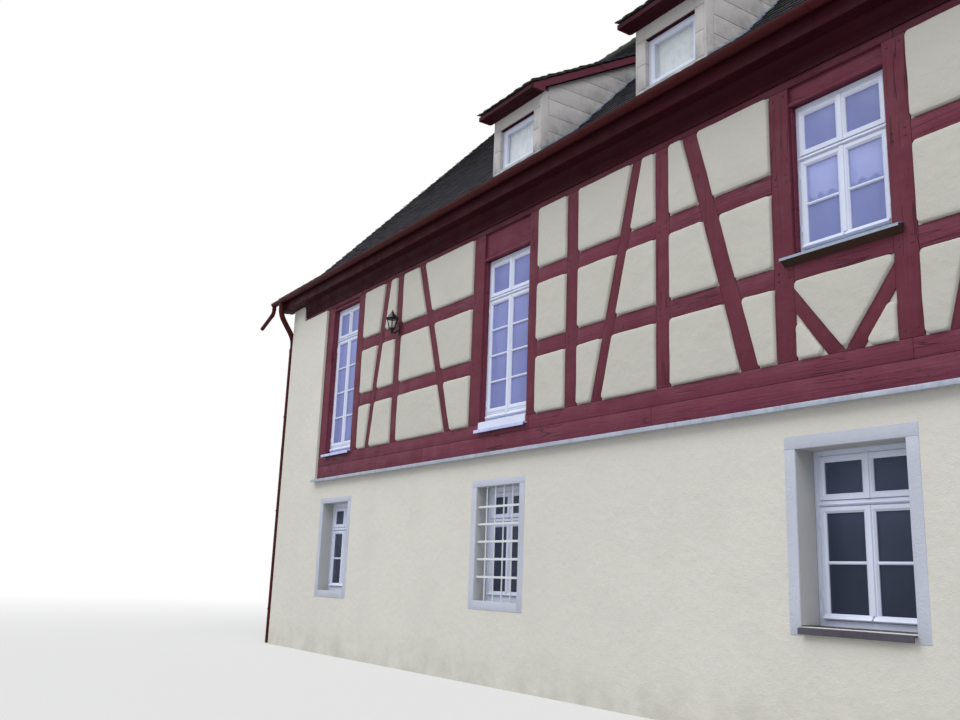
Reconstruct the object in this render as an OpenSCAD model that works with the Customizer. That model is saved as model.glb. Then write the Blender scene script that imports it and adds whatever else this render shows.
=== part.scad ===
// Half timbered house with a masonry ground storey, a timber framed upper storey and shed dormers.
// The front looks towards -Y, the length runs along X and the ground is at z = 0. All values in mm.
// Facade modules use x along the wall, v inwards from the timber face and z up.

/* [Building] */
// Length of the timber frame between the masonry corners
frame_w = 20843; // [18800:1:24000]
// Width of the masonry corners between the frame and the gable walls
corner_w = 978.5; // [700:0.5:2400]
// Depth between the outer timber faces of the front and the back
body_d = 9600; // [8400:20:12000]
// Thickness of the masonry walls under the timber frame
wall_t = 490; // [350:10:600]
// Thickness of the gable walls
gable_t = 500; // [350:10:600]
// How far the masonry stands in front of the timber face
wall_proud = 40; // [20:5:80]
// Thickness of the floor slab on the ground
slab_t = 150; // [100:10:250]
// Thickness of the floor between the two storeys
floor_t = 200; // [150:10:300]

/* [Storey heights] */
// Height of the masonry ground storey
ground_h = 2765; // [2700:5:3200]
// Height of the lower sill beam
lower_sill_h = 237; // [180:1:280]
// Height of the upper sill beam
upper_sill_h = 171; // [140:1:220]
// Clear height of the timber frame between sill and plate
frame_h = 2599; // [2500:1:2900]
// Height of the wall plate
plate_h = 208; // [160:1:260]
// Thickness of the attic floor on the plates
attic_t = 180; // [140:10:240]

/* [Timber frame] */
// Depth of the timbers
timber_t = 200; // [140:5:260]
// Height of the rails
rail_h = 192; // [140:1:220]
// Height of the lower rail's underside above the sill
rail_1 = 701; // [600:1:800]
// Height of the upper rail's underside above the sill
rail_2 = 1617; // [1500:1:1750]
// How far the plaster cushions stand in front of the timber
cushion_t = 20; // [8:1:30]
// Joint between a plaster cushion and the timber around it
cushion_gap = 12; // [6:1:20]
// Corner radius of the plaster cushions
cushion_r = 45; // [20:1:55]

/* [Upper windows] */
// How far the upper windows are recessed behind the timber face
upper_recess = 80; // [40:5:110]
// Thickness of a window frame
sash_t = 60; // [40:5:70]
// Visible width of a window frame
sash_w = 62; // [45:1:80]
// Thickness of the window glass
glass_t = 6; // [4:1:10]
// Width of the middle post of a window
mullion_w = 104; // [70:1:130]
// Height of the bar under a transom light
transom_h = 90; // [60:1:110]
// Height of the lower rail of a tall window
tall_low = 180; // [80:5:200]
// Height of the transom in the outer windows, as a share of the window
transom_1 = 0.785; // [0.7:0.005:0.85]
// Height of the transom in the inner windows, as a share of the window
transom_2 = 0.756; // [0.7:0.005:0.85]
// Height of the transom in the middle window, as a share of the window
transom_3 = 0.632; // [0.55:0.005:0.7]
// Height of the board over the outer windows
head_1 = 62; // [40:1:100]
// Height of the boxed head over the inner windows
head_2 = 382; // [300:1:420]
// Height of the head over the middle window
head_3 = 192; // [150:1:240]
// Height of the parapet rail's underside under the middle window
parapet_z = 727; // [700:1:760]
// Height of the sheet metal sills
sill_h = 25; // [15:1:34]
// How far the front edge of a sheet metal sill hangs down
sill_drop = 30; // [10:1:60]
// Height of a wall lantern
lantern_h = 350; // [300:5:450]

/* [Ground windows] */
// Depth of the window reveals in the masonry
reveal = 240; // [160:5:260]
// Width of the window openings
ground_open_w = 915; // [800:5:980]
// Height of the window openings' lower edge
ground_open_z0 = 975; // [900:5:1050]
// Height of the window openings' upper edge
ground_open_z1 = 2360; // [2200:5:2420]
// Width of the stone surrounds
surround_w = 108; // [80:1:120]
// How far the stone surrounds stand in front of the masonry
surround_proud = 4; // [2:1:10]
// Width of the middle opening, also that of the back door
middle_open_w = 1030; // [940:5:1100]
// Height of the middle opening's upper edge
middle_open_z1 = 2398; // [2300:1:2440]
// Thickness of the middle window's stone sill
stone_sill_h = 80; // [50:5:100]
// Height of the middle of the transom bars
ground_transom_z = 1950; // [1850:5:2050]
// Thickness of the bars of the window grilles
grille_bar = 18; // [12:1:24]
// Distance between the level bars of the window grilles
grille_pitch = 213; // [180:1:220]
// Height of the windows in the gables
gable_open_h = 1385; // [1200:5:1500]

/* [Roof] */
// Slope of the main roof
roof_pitch = 47; // [42:0.5:50]
// Slope of the flared foot of the roof
flare_pitch = 38.8; // [34:0.2:42]
// Depth from the timber face at which the flare ends
flare_v = 550; // [400:10:700]
// Vertical thickness of the roof deck
deck_t = 220; // [160:5:260]
// Vertical thickness of the tile coat
tile_t = 70; // [50:1:90]
// Step at the lower edge of each course of tiles
tile_step = 22; // [10:1:28]
// Courses of tiles on the flare
flare_courses = 7; // [5:1:10]
// Courses of tiles on the main slope
main_courses = 41; // [30:1:50]
// Overhang of the tiles in front of the fascia
tile_over = 45; // [30:1:60]
// Overhang of the roof beyond the gable walls
gable_over = 220; // [120:10:300]
// Overhang of the tiles beyond the roof deck
verge_over = 50; // [35:1:90]
// Thickness of the verge boards
verge_t = 25; // [18:1:30]
// Radius of the ridge tiles
ridge_r = 130; // [110:1:160]

/* [Eaves] */
// Overhang of the soffit in front of the timber face
soffit_over = 200; // [160:5:260]
// Thickness of the fascia board
fascia_t = 25; // [20:1:30]
// Height of the tile edge above the soffit
eave_h = 300; // [270:1:330]
// Thickness of the soffit board
soffit_t = 20; // [15:1:25]
// Projection of the moulding under the soffit
mould_over = 90; // [70:1:120]
// Projection of the flat board below the moulding
mould_board = 30; // [20:1:40]
// Height of the flat board below the moulding
mould_board_h = 125; // [50:5:135]
// Radius of the gutter
gutter_r = 65; // [50:1:75]
// Thickness of the gutter's sheet
gutter_t = 5; // [4:1:8]
// How far the gutters run beyond the roof deck
gutter_over = 270; // [200:5:320]
// Drop of the spouts at the ends of the gutters before they turn outwards
spout_drop = 150; // [100:10:200]
// Length of the spouts after their bend
spout_l = 600; // [400:10:900]
// Diameter of the spouts
spout_d = 80; // [60:1:90]
// Diameter of the downpipes
pipe_d = 116; // [90:1:125]
// Thickness of the zinc flashing over the ground storey
flashing_t = 10; // [8:1:14]
// Projection of the flashing in front of the masonry
flashing_over = 78; // [50:1:90]
// Height of the flashing's drip edge
flashing_drip = 38; // [25:1:45]

/* [Dormers] */
// Distance of the inner dormers from the middle of the house
dormer_x1 = 2000; // [1800:10:2300]
// Distance of the outer dormers from the middle of the house
dormer_x2 = 4830; // [4400:10:5200]
// Width of a dormer
dormer_w = 1060; // [980:10:1200]
// Thickness of the dormer cheeks
cheek_t = 120; // [80:5:140]
// Height of the dormer's soffit above the tile edge
dormer_h = 1000; // [960:5:1080]
// Slope of the dormer roofs
dormer_pitch = 30; // [26:0.5:32]
// Thickness of a dormer roof, measured vertically
dormer_roof_t = 150; // [110:5:180]
// Overhang of a dormer roof at the front
dormer_over = 190; // [150:5:230]
// Overhang of a dormer roof at the sides
dormer_side = 85; // [60:1:110]
// Width of a dormer window
dormer_open_w = 750; // [700:5:790]
// Height of a dormer window
dormer_open_h = 600; // [520:5:600]

/* [Hidden] */

$fn = 24;
eps = 1;
cut = 60;
// Open joint between the stones of a surround and between the boards of a verge
stone_joint = 1;

// Colours
cream = [0.86, 0.82, 0.72];
plaster = [0.88, 0.85, 0.76];
wine = [0.27, 0.11, 0.12];
stone = [0.70, 0.69, 0.73];
zinc = [0.45, 0.49, 0.56];
slate = [0.20, 0.18, 0.18];
dark_red = [0.22, 0.07, 0.07];
white = [0.90, 0.90, 0.93];
glass = [0.45, 0.50, 0.58];
timber = [0.45, 0.33, 0.22];
black = [0.08, 0.08, 0.09];

// Levels
z_sill = ground_h + lower_sill_h + upper_sill_h;
z_plate = z_sill + frame_h;
z_plate_top = z_plate + plate_h;
z_attic = z_plate_top + attic_t;
z_soffit = z_plate_top + 80;
z_deck = z_soffit + soffit_t;
z_sash = z_sill + sill_h;
z_parapet = z_sill + parapet_z;
z_middle_sill = z_parapet + rail_h;
z_middle_sash = z_middle_sill + stone_sill_h;

// Plan
body_w = frame_w + 2 * (corner_w + gable_t);
half_d = body_d / 2;
gable_in = body_w / 2 - gable_t;
roof_end = body_w / 2 + gable_over;
wall_in = wall_t - wall_proud;

// Posts of the left half from the corner to the middle, as the share of the half frame and the width
post_at = [1, 0.8854, 0.757, 0.5495, 0.4278, 0.3562, 0.2131, 0.0675];
post_w = [251, 250, 200, 250, 184, 216, 200, 218];
frame_end = frame_w / 2;
function post_l(i) = i == 0 ? -frame_end : -frame_end * post_at[i];
function post_r(i) = post_l(i) + post_w[i];

// Braces as left and right edge at the plate and at the sill, measured from the post on their left
function brace_after(i, top, foot) = [
    [post_r(i) + top[0], post_r(i) + top[1]],
    [post_r(i) + foot[0], post_r(i) + foot[1]]
];
brace_a = brace_after(1, [699, 889], [269, 419]);
brace_b = brace_after(2, [459, 639], [1359, 1519]);
brace_c = brace_after(5, [924, 1083], [245, 421]);
brace_d = brace_after(6, [194, 392], [907, 1117]);

// Framed bays of the left half, as left edge, right edge and brace
bays = [
    [post_r(1), post_l(2), brace_a],
    [post_r(2), post_l(3), brace_b],
    [post_r(4), post_l(5), []],
    [post_r(5), post_l(6), brace_c],
    [post_r(6), post_l(7), brace_d]
];
bay_1 = [post_r(0), post_l(1)];
bay_2 = [post_r(3), post_l(4)];
bay_3 = [post_r(7), -post_r(7)];
panel_rows = [[0, rail_1], [rail_1 + rail_h, rail_2], [rail_2 + rail_h, frame_h]];
rail_rows = [[rail_1, rail_1 + rail_h], [rail_2, rail_2 + rail_h]];

// Crossed struts under the middle window: heights at the posts and at the foot
strut_top = 647;
strut_low = 431;
strut_foot = 171;

// Ground storey
ground_x = [-frame_end * 0.9145, -frame_end * 0.474];
surround_out_w = ground_open_w + 2 * surround_w;
surround_out_z0 = ground_open_z0 - surround_w;
surround_out_z1 = ground_open_z1 + surround_w - 23;
middle_out_w = middle_open_w + 2 * surround_w;
middle_out_z1 = middle_open_z1 + surround_w;
middle_z0 = 950;
sash_v = reveal - wall_proud;

// Gable walls, windows as position along the wall and height of the lower edge
gable_windows_at = [
    [-2300, ground_open_z0], [2300, ground_open_z0], [-2300, 3650], [2300, 3650], [-900, 7000], [900, 7000]
];

// Roof surface, measured at the top of the tiles
tile_v = -soffit_over - fascia_t - tile_over;
tile_z = z_soffit + eave_h;
flare_z = tile_z + (flare_v - tile_v) * tan(flare_pitch);
ridge_z = flare_z + (half_d - flare_v) * tan(roof_pitch);
function roof_z(v) =
    v < flare_v ? tile_z + (v - tile_v) * tan(flare_pitch) : flare_z + (v - flare_v) * tan(roof_pitch);
function deck_z(v) = roof_z(v) - tile_t;
fascia_v = -soffit_over - fascia_t;
deck_foot = timber_t * 0.7;

// Dormers
dormer_at = [-dormer_x2, -dormer_x1, dormer_x1, dormer_x2];
dormer_z = tile_z + dormer_h;
dormer_under = dormer_z + 70;
dormer_lintel_h = 160;
dormer_slope = tan(dormer_pitch);
main_slope = tan(roof_pitch);
main_foot = deck_z(flare_v) - flare_v * main_slope;
function meet(z0) = (z0 - main_foot) / (main_slope - dormer_slope);
dormer_v0 = meet(dormer_under);
dormer_v1 = meet(dormer_under + dormer_roof_t);
dormer_lap_v = meet(dormer_under - tile_t);
dormer_open_z = dormer_z - dormer_lintel_h - dormer_open_h;
dormer_sash_v = cheek_t - sash_t - glass_t;

// Box between two corners
module block(x0, x1, v0, v1, z0, z1) {
    translate([x0, v0, z0])
        cube([x1 - x0, v1 - v0, z1 - z0]);
}

// Plate with an outline in x and z, from depth v0 to v1
module plate(v0, v1) {
    translate([0, v1, 0])
        rotate([90, 0, 0])
            linear_extrude(v1 - v0)
                children();
}

// Profile in v and z, run along x
module run(x0, x1) {
    translate([x0, 0, 0])
        rotate([90, 0, 90])
            linear_extrude(x1 - x0)
                children();
}

// The four sides of the house
module at_front() {
    translate([0, -half_d, 0])
        children();
}

module at_back() {
    rotate([0, 0, 180])
        at_front()
            children();
}

module at_left() {
    translate([-body_w / 2 + wall_proud, 0, 0])
        rotate([0, 0, -90])
            children();
}

module at_right() {
    rotate([0, 0, 180])
        at_left()
            children();
}

// The part of the left half and its mirror image
module mirrored() {
    children();
    mirror([1, 0, 0])
        children();
}

module both_fronts() {
    at_front()
        children();
    at_back()
        children();
}

// Convex outlines, listed anticlockwise, cut by the line from a to b so that the left side stays
function side_of(a, b, p) = (b.x - a.x) * (p.y - a.y) - (b.y - a.y) * (p.x - a.x);
function clipped(shape, a, b) = [
    for (i = [0 : len(shape) - 1])
        let (
            p = shape[i],
            q = shape[(i + 1) % len(shape)],
            s = side_of(a, b, p),
            t = side_of(a, b, q)
        )
        each concat(s >= 0 ? [p] : [], s * t < 0 ? [p + (q - p) * s / (s - t)] : [])
];
function rect(x0, x1, z0, z1) = [[x0, z0], [x1, z0], [x1, z1], [x0, z1]];

// The pieces of one row of a bay, left and right of its brace
function bay_cells(bay, z0, z1) =
    len(bay[2]) == 0
        ? [rect(bay[0], bay[1], z0, z1)]
        : [
            clipped(rect(bay[0], bay[1], z0, z1), [bay[2][1][0], z_sill], [bay[2][0][0], z_plate]),
            clipped(rect(bay[0], bay[1], z0, z1), [bay[2][0][1], z_plate], [bay[2][1][1], z_sill])
        ];

// Outline with all edges moved inwards by d and the corners rounded by r
function edge_normal(shape, i) =
    let (p = shape[i], q = shape[(i + 1) % len(shape)], n = [q.y - p.y, p.x - q.x]) n / norm(n);
function corner_centre(shape, i, d) =
    let (
        k = len(shape),
        a = edge_normal(shape, (i + k - 1) % k),
        b = edge_normal(shape, i)
    )
    shape[i] - d * (a + b) / (1 + a * b);
function cushion(shape, gap, r, steps) = [
    for (i = [0 : len(shape) - 1])
        let (
            k = len(shape),
            a = edge_normal(shape, (i + k - 1) % k),
            b = edge_normal(shape, i),
            c = corner_centre(shape, i, gap + r),
            from = atan2(a.y, a.x),
            turn = (atan2(b.y, b.x) - from + 720) % 360
        )
        for (j = [0 : steps])
            c + r * [cos(from + turn * j / steps), sin(from + turn * j / steps)]
];

// Outlines of the fields under the middle window
function parapet_fields() = [
    [
        [bay_3[0], z_sill + strut_top], [0, z_sill + 7], [bay_3[1], z_sill + strut_top],
        [bay_3[1], z_parapet], [bay_3[0], z_parapet]
    ],
    [[bay_3[0], z_sill], [-strut_foot, z_sill], [bay_3[0], z_sill + strut_low]],
    [[strut_foot, z_sill], [bay_3[1], z_sill], [bay_3[1], z_sill + strut_low]]
];

// One plaster field: the filling between the timbers and the rounded cushion on its face
module panel(shape) {
    union() {
        plate(eps, timber_t - eps)
            polygon(shape);
        plate(-cushion_t, eps)
            polygon(cushion(shape, cushion_gap, cushion_r, 3));
    }
}

module panels() {
    mirrored()
        for (bay = bays)
            for (row = panel_rows)
                for (shape = bay_cells(bay, z_sill + row[0], z_sill + row[1]))
                    panel(shape);
    for (shape = parapet_fields())
        panel(shape);
}

module posts() {
    mirrored()
        for (i = [0 : len(post_at) - 1])
            block(post_l(i), post_r(i), 0, timber_t, z_sill, z_plate);
}

module rails() {
    mirrored()
        for (bay = bays)
            for (row = rail_rows)
                for (shape = bay_cells(bay, z_sill + row[0], z_sill + row[1]))
                    plate(0, timber_t)
                        polygon(shape);
    block(bay_3[0], bay_3[1], 0, timber_t, z_parapet, z_parapet + rail_h);
}

module braces() {
    mirrored()
        for (brace = [brace_a, brace_b, brace_c, brace_d])
            plate(0, timber_t)
                polygon([
                    [brace[1][0], z_sill], [brace[1][1], z_sill], [brace[0][1], z_plate], [brace[0][0], z_plate]
                ]);
    plate(0, timber_t)
        polygon([
            [-strut_foot, z_sill], [strut_foot, z_sill], [bay_3[1], z_sill + strut_low],
            [bay_3[1], z_sill + strut_top], [0, z_sill + 7], [bay_3[0], z_sill + strut_top],
            [bay_3[0], z_sill + strut_low]
        ]);
}

// Window frame: outer rectangle with two lights beside a middle post, and a transom bar
module sash(x, w, z0, z1, transom_z, v, side = sash_w, low = sash_w) {
    plate(v, v + sash_t)
        difference() {
            polygon(rect(x - w / 2, x + w / 2, z0, z1));
            for (light = [[z0 + low, transom_z - transom_h / 2], [transom_z + transom_h / 2, z1 - sash_w]]) {
                polygon(rect(x - w / 2 + side, x - mullion_w / 2, light[0], light[1]));
                polygon(rect(x + mullion_w / 2, x + w / 2 - side, light[0], light[1]));
            }
        }
}

// Window frame with a single light
module single_sash(w, z0, z1, v) {
    plate(v, v + sash_t)
        difference() {
            polygon(rect(-w / 2, w / 2, z0, z1));
            polygon(rect(-w / 2 + sash_w, w / 2 - sash_w, z0 + sash_w, z1 - sash_w));
        }
}

module pane(x, w, z0, z1, v) {
    inset = sash_w / 3;
    block(x - w / 2 + inset, x + w / 2 - inset, v + sash_t, v + sash_t + glass_t, z0 + inset, z1 - inset);
}

// Masonry with its openings
module ground_openings(middle_z) {
    for (x = concat(ground_x, -ground_x))
        block(x - surround_out_w / 2, x + surround_out_w / 2, -wall_proud - cut, wall_in + cut,
            surround_out_z0, surround_out_z1);
    block(-middle_out_w / 2, middle_out_w / 2, -wall_proud - cut, wall_in + cut, middle_z, middle_out_z1);
}

module ground_wall(middle_z) {
    difference() {
        block(-gable_in, gable_in, -wall_proud, wall_in, 0, ground_h);
        ground_openings(middle_z);
    }
}

// Section under the roof deck, from the timber face to the ridge
function gable_outline() = [
    [-wall_proud, 0],
    [half_d, 0],
    [half_d, deck_z(half_d) - deck_t],
    [flare_v, deck_z(flare_v) - deck_t],
    [deck_foot, deck_z(deck_foot) - deck_t],
    [deck_foot, z_attic],
    [0, z_attic],
    [0, z_soffit],
    [-wall_proud, z_soffit]
];

module gable_wall() {
    difference() {
        union() {
            at_front()
                run(-body_w / 2, -gable_in)
                    polygon(gable_outline());
            mirror([0, 1, 0])
                at_front()
                    run(-body_w / 2, -gable_in)
                        polygon(gable_outline());
        }
        at_left()
            for (w = gable_windows_at)
                block(w[0] - surround_out_w / 2, w[0] + surround_out_w / 2, -wall_proud - cut,
                    gable_t - wall_proud + cut, w[1] - surround_w, w[1] + gable_open_h + surround_w);
    }
}

module corner_wall() {
    mirrored()
        block(-gable_in, -frame_end, -wall_proud, timber_t, ground_h, z_plate);
}

// Sheet flashing that covers the ledge of the masonry
module flashing() {
    edge = -wall_proud - flashing_over;
    run(-frame_end, frame_end)
        polygon([
            [0, ground_h],
            [0, ground_h + flashing_t * 2.5],
            [edge, ground_h + flashing_t],
            [edge, ground_h - flashing_drip],
            [edge + flashing_t, ground_h - flashing_drip],
            [edge + flashing_t, ground_h]
        ]);
}

// Moulding between the plate and the soffit: a flat board and a hollow above it
module eaves_moulding() {
    hollow_h = 90;
    z0 = z_soffit - hollow_h - mould_board_h;
    run(-gable_in, gable_in)
        polygon(concat(
            [[0, z0], [0, z_soffit]],
            [
                for (i = [0 : 6])
                    [
                        -mould_over + (mould_over - mould_board) * cos(90 - i * 15),
                        z_soffit - hollow_h + hollow_h * sin(90 - i * 15)
                    ]
            ],
            [[-mould_board, z0]]
        ));
}

// Soffit board with the fascia board that carries the gutter
module eaves_soffit() {
    run(-roof_end, roof_end)
        polygon([
            [0, z_soffit], [0, z_deck], [-soffit_over, z_deck], [-soffit_over, deck_z(-soffit_over)],
            [fascia_v, deck_z(fascia_v)], [fascia_v, z_soffit]
        ]);
}

// Half round gutter with end plates and a bent spout at each end
gutter_v = fascia_v - gutter_r;
gutter_z = deck_z(fascia_v) - 60;
module gutter() {
    end = roof_end + gutter_over;
    run(-end, end) {
        difference() {
            translate([gutter_v, gutter_z])
                circle(gutter_r, $fn = 32);
            translate([gutter_v, gutter_z])
                circle(gutter_r - gutter_t, $fn = 32);
            translate([gutter_v - gutter_r - eps, gutter_z])
                square([2 * gutter_r + 2 * eps, gutter_r + eps]);
        }
        translate([gutter_v + gutter_r - gutter_t, gutter_z - eps])
            square([gutter_t, 34]);
    }
    mirrored()
        run(-end, -end + gutter_t)
            difference() {
                translate([gutter_v, gutter_z])
                    circle(gutter_r - eps, $fn = 32);
                translate([gutter_v - gutter_r - eps, gutter_z])
                    square([2 * gutter_r + 2 * eps, gutter_r + eps]);
            }
    spout_top = [-end + gutter_r / 2, gutter_v, gutter_z - gutter_r / 2];
    spout_bend = spout_top - [0, 0, spout_drop];
    mirrored() {
        rod(spout_bend, spout_top, spout_d);
        translate(spout_bend) {
            sphere(d = spout_d + 6);
            rotate([0, -110, 0])
                cylinder(h = spout_l, d = spout_d);
        }
    }
}

// Round bar between two points
module rod(a, b, d) {
    run_xyz = b - a;
    length = norm(run_xyz);
    translate(a)
        rotate([0, acos(run_xyz.z / length), atan2(run_xyz.y, run_xyz.x)])
            cylinder(h = length, d = d);
}

// Downpipe beside the gable, with a swan neck from the gutter and bands that hold it to the wall
pipe_x = -body_w / 2 - pipe_d / 2 - 25;
module downpipe() {
    neck_d = pipe_d - 16;
    bend_d = pipe_d + 6;
    top = [pipe_x, gutter_v, gutter_z - gutter_r];
    bend_1 = top - [0, 0, 220];
    bend_2 = [pipe_x, 0, top.z - 650];
    foot = [pipe_x, 0, 0];
    mirrored()
        union() {
            rod(bend_1, top, neck_d);
            rod(bend_2, bend_1, neck_d);
            rod(foot, bend_2, pipe_d);
            for (bend = [bend_1, bend_2])
                translate(bend)
                    sphere(d = bend_d);
            for (share = [0.1, 0.4, 0.7])
                translate([pipe_x, 0, z_plate * share]) {
                    cylinder(h = 30, d = pipe_d + 14);
                    translate([0, -15, 0])
                        cube([-body_w / 2 - pipe_x, 30, 30]);
                }
        }
}

// Roof deck with the openings under the dormers
module deck() {
    run(-roof_end, roof_end)
        polygon([
            [-soffit_over, z_deck],
            [0, z_deck],
            [0, z_attic],
            [deck_foot, z_attic],
            [deck_foot, deck_z(deck_foot) - deck_t],
            [flare_v, deck_z(flare_v) - deck_t],
            [half_d, deck_z(half_d) - deck_t],
            [half_d, deck_z(half_d)],
            [flare_v, deck_z(flare_v)],
            [-soffit_over, deck_z(-soffit_over)]
        ]);
}

// Tile coat as a profile with one step at each course
course_v = concat(
    [for (i = [0 : flare_courses - 1]) tile_v + (flare_v - tile_v) * i / flare_courses],
    [for (i = [0 : main_courses]) flare_v + (half_d - flare_v) * i / main_courses]
);
tile_tops = [
    for (i = [0 : len(course_v) - 2])
        each [
            [course_v[i], roof_z(course_v[i])],
            [course_v[i + 1], roof_z(course_v[i + 1]) - tile_step]
        ]
];
tile_profile = concat(
    [[half_d, deck_z(half_d)], [flare_v, deck_z(flare_v)], [tile_v, deck_z(tile_v)]],
    tile_tops
);

module tiles() {
    end = roof_end + verge_over;
    run(-end, end)
        polygon(tile_profile);
}

module dormer_cutouts(half, v0, v1) {
    for (x = dormer_at)
        block(x - half, x + half, v0, v1, z_attic, ridge_z);
}

// Ridge tiles, round on top and shaped to the tile courses below
module ridge() {
    end = roof_end + verge_over;
    below = concat([[half_d, 0], [tile_v, 0]], tile_tops);
    run(-end, end)
        difference() {
            translate([half_d, ridge_z - 80])
                circle(ridge_r, $fn = 32);
            polygon(below);
            translate([2 * half_d, 0])
                mirror([1, 0])
                    polygon(below);
        }
}

// Board along the verge that covers the end of the deck
module verge_board() {
    lap = 50;
    run(-roof_end - verge_t, -roof_end)
        polygon([
            [fascia_v, z_soffit],
            [-soffit_over / 2, z_soffit],
            [flare_v, deck_z(flare_v) - deck_t - lap],
            [half_d - stone_joint, deck_z(half_d) - deck_t - lap],
            [half_d - stone_joint, deck_z(half_d - stone_joint)],
            [flare_v, deck_z(flare_v)],
            [fascia_v, deck_z(fascia_v)]
        ]);
}

// Side view of a dormer between the deck and its own roof, from depth v0 to v1
function dormer_side_view(v0, v1) = [
    [v0, deck_z(v0)],
    if (v0 < flare_v && v1 > flare_v) [flare_v, deck_z(flare_v)],
    [v1, deck_z(v1)],
    [v1, dormer_under + v1 * dormer_slope],
    [v0, dormer_under + v0 * dormer_slope]
];

module dormer_front() {
    half = dormer_w / 2 - cheek_t;
    difference() {
        run(-half, half)
            polygon(dormer_side_view(0, cheek_t));
        block(-dormer_open_w / 2, dormer_open_w / 2, -cut, cheek_t + cut, dormer_open_z, dormer_open_z + dormer_open_h);
    }
}

module dormer_cheek() {
    mirrored()
        run(-dormer_w / 2, -dormer_w / 2 + cheek_t)
            polygon([
                [0, deck_z(0)], [flare_v, deck_z(flare_v)], [dormer_v0, dormer_under + dormer_v0 * dormer_slope],
                [0, dormer_under]
            ]);
}

module dormer_roof() {
    half = dormer_w / 2 + dormer_side;
    run(-half, half)
        polygon([
            [-dormer_over, dormer_z],
            [0, dormer_z],
            [0, dormer_under],
            [dormer_v0, dormer_under + dormer_v0 * dormer_slope],
            [dormer_v1, dormer_under + dormer_roof_t + dormer_v1 * dormer_slope],
            [-dormer_over, dormer_under + dormer_roof_t - dormer_over * dormer_slope]
        ]);
}

module dormers() {
    for (x = dormer_at)
        translate([x, 0, 0])
            children();
}

// Stone surround of an opening: two jambs, a lintel and, where sill_z is lower than z0, a sill stone
module surround(x, open_w, z0, z1, sill_z, top_z) {
    half = open_w / 2;
    v0 = -wall_proud - surround_proud;
    for (side = [-1, 1])
        translate([x + side * (half + surround_w / 2), 0, 0])
            block(-surround_w / 2, surround_w / 2, v0, sash_v, z0 + stone_joint, z1 - stone_joint);
    block(x - half - surround_w, x + half + surround_w, v0, sash_v, z1, top_z);
    if (sill_z < z0)
        block(x - half - surround_w, x + half + surround_w, v0, sash_v, sill_z, z0);
}

module ground_surrounds() {
    for (x = concat(ground_x, -ground_x))
        surround(x, ground_open_w, ground_open_z0, ground_open_z1, surround_out_z0, surround_out_z1);
}

module gable_surrounds() {
    for (w = gable_windows_at) {
        z1 = w[1] + gable_open_h;
        surround(w[0], ground_open_w, w[1], z1, w[1] - surround_w, z1 + surround_w);
    }
}

// White grille in the reveal of the inner ground windows
module grille(x) {
    v = -wall_proud + 30;
    half = ground_open_w / 2;
    bar = grille_bar / 2;
    columns = 4;
    column_pitch = ground_open_w / (columns + 1);
    middle = (ground_open_z0 + ground_open_z1) / 2 + 17;
    union() {
        for (i = [1 : columns])
            translate([x - half + i * column_pitch, 0, 0])
                block(-bar, bar, v, v + grille_bar, ground_open_z0, ground_open_z1);
        for (i = [-2 : 2])
            translate([x, 0, middle + i * grille_pitch])
                block(-half, half, v + 2, v + grille_bar - 2, -bar, bar);
    }
}

// Sheet sill of a tall window with ears in front of the posts
module tall_sill(bay) {
    ear = 30;
    lip = 60;
    union() {
        block(bay[0], bay[1], -eps, upper_recess + sash_t, z_sill, z_sash);
        block(bay[0] - ear, bay[1] + ear, -lip, 0, z_sill - sill_drop, z_sash);
    }
}

module middle_sill() {
    ear = 113;
    lip = 70;
    union() {
        block(bay_3[0], bay_3[1], -eps, upper_recess + sash_t, z_middle_sill, z_middle_sash);
        block(bay_3[0] - ear, bay_3[1] + ear, -lip, 0, z_middle_sill, z_middle_sash);
    }
}

// Boxed head over an upper window with a small moulding at its lower edge
module window_head(bay, h, recess) {
    lip = 24;
    lip_h = 50;
    z0 = z_plate - h;
    union() {
        block(bay[0], bay[1], recess, timber_t, z0, z_plate);
        block(bay[0], bay[1], recess - lip, recess + eps, z0, z0 + lip_h);
        if (h > 2 * lip_h)
            block(bay[0], bay[1], recess - lip / 2, recess + eps, z0 + lip_h - eps, z0 + 1.6 * lip_h);
    }
}

// Coach lantern on a bracket, drawn 500 high and scaled to its height
module lantern() {
    v = -165;
    scale(lantern_h / 500)
        union() {
            block(-35, 35, -14, 0, -60, 230);
            rod([0, -10, 0], [0, v, -40], 24);
            translate([0, v, -70])
                sphere(d = 44);
            translate([0, v, -60])
                cylinder(h = 60, d1 = 50, d2 = 130, $fn = 6);
            translate([0, v, 0])
                cylinder(h = 250, d1 = 130, d2 = 210, $fn = 6);
            translate([0, v, 250])
                cylinder(h = 18, d = 244, $fn = 6);
            translate([0, v, 268])
                cylinder(h = 90, d1 = 220, d2 = 50, $fn = 6);
            translate([0, v, 358])
                cylinder(h = 30, d1 = 50, d2 = 12);
            translate([0, v, 392])
                sphere(d = 26);
        }
}

// Closed door in the middle of the back
module back_door() {
    half = middle_out_w / 2;
    raised = 18;
    panel_w = middle_open_w * 0.35;
    panel_h = middle_open_z1 - slab_t;
    union() {
        plate(sash_v, sash_v + sash_t)
            polygon(rect(-half, half, slab_t, middle_out_z1));
        for (x = [-middle_open_w / 4, middle_open_w / 4])
            for (share = [[0.07, 0.38], [0.43, 0.93]])
                block(x - panel_w / 2, x + panel_w / 2, sash_v - raised, sash_v + eps,
                    slab_t + share[0] * panel_h, slab_t + share[1] * panel_h);
    }
}

color(stone)  // ground_floor_slab
        block(-gable_in, gable_in, -half_d + wall_in, half_d - wall_in, 0, slab_t);

color(timber)  // upper_floor
        block(-gable_in, gable_in, -half_d + timber_t, half_d - timber_t, ground_h, ground_h + floor_t);

color(timber)  // attic_floor
        block(-gable_in, gable_in, -half_d, half_d, z_plate_top, z_attic);

color(cream)  // ground_wall_front
        at_front()
            ground_wall(middle_z0 - stone_sill_h);

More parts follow.
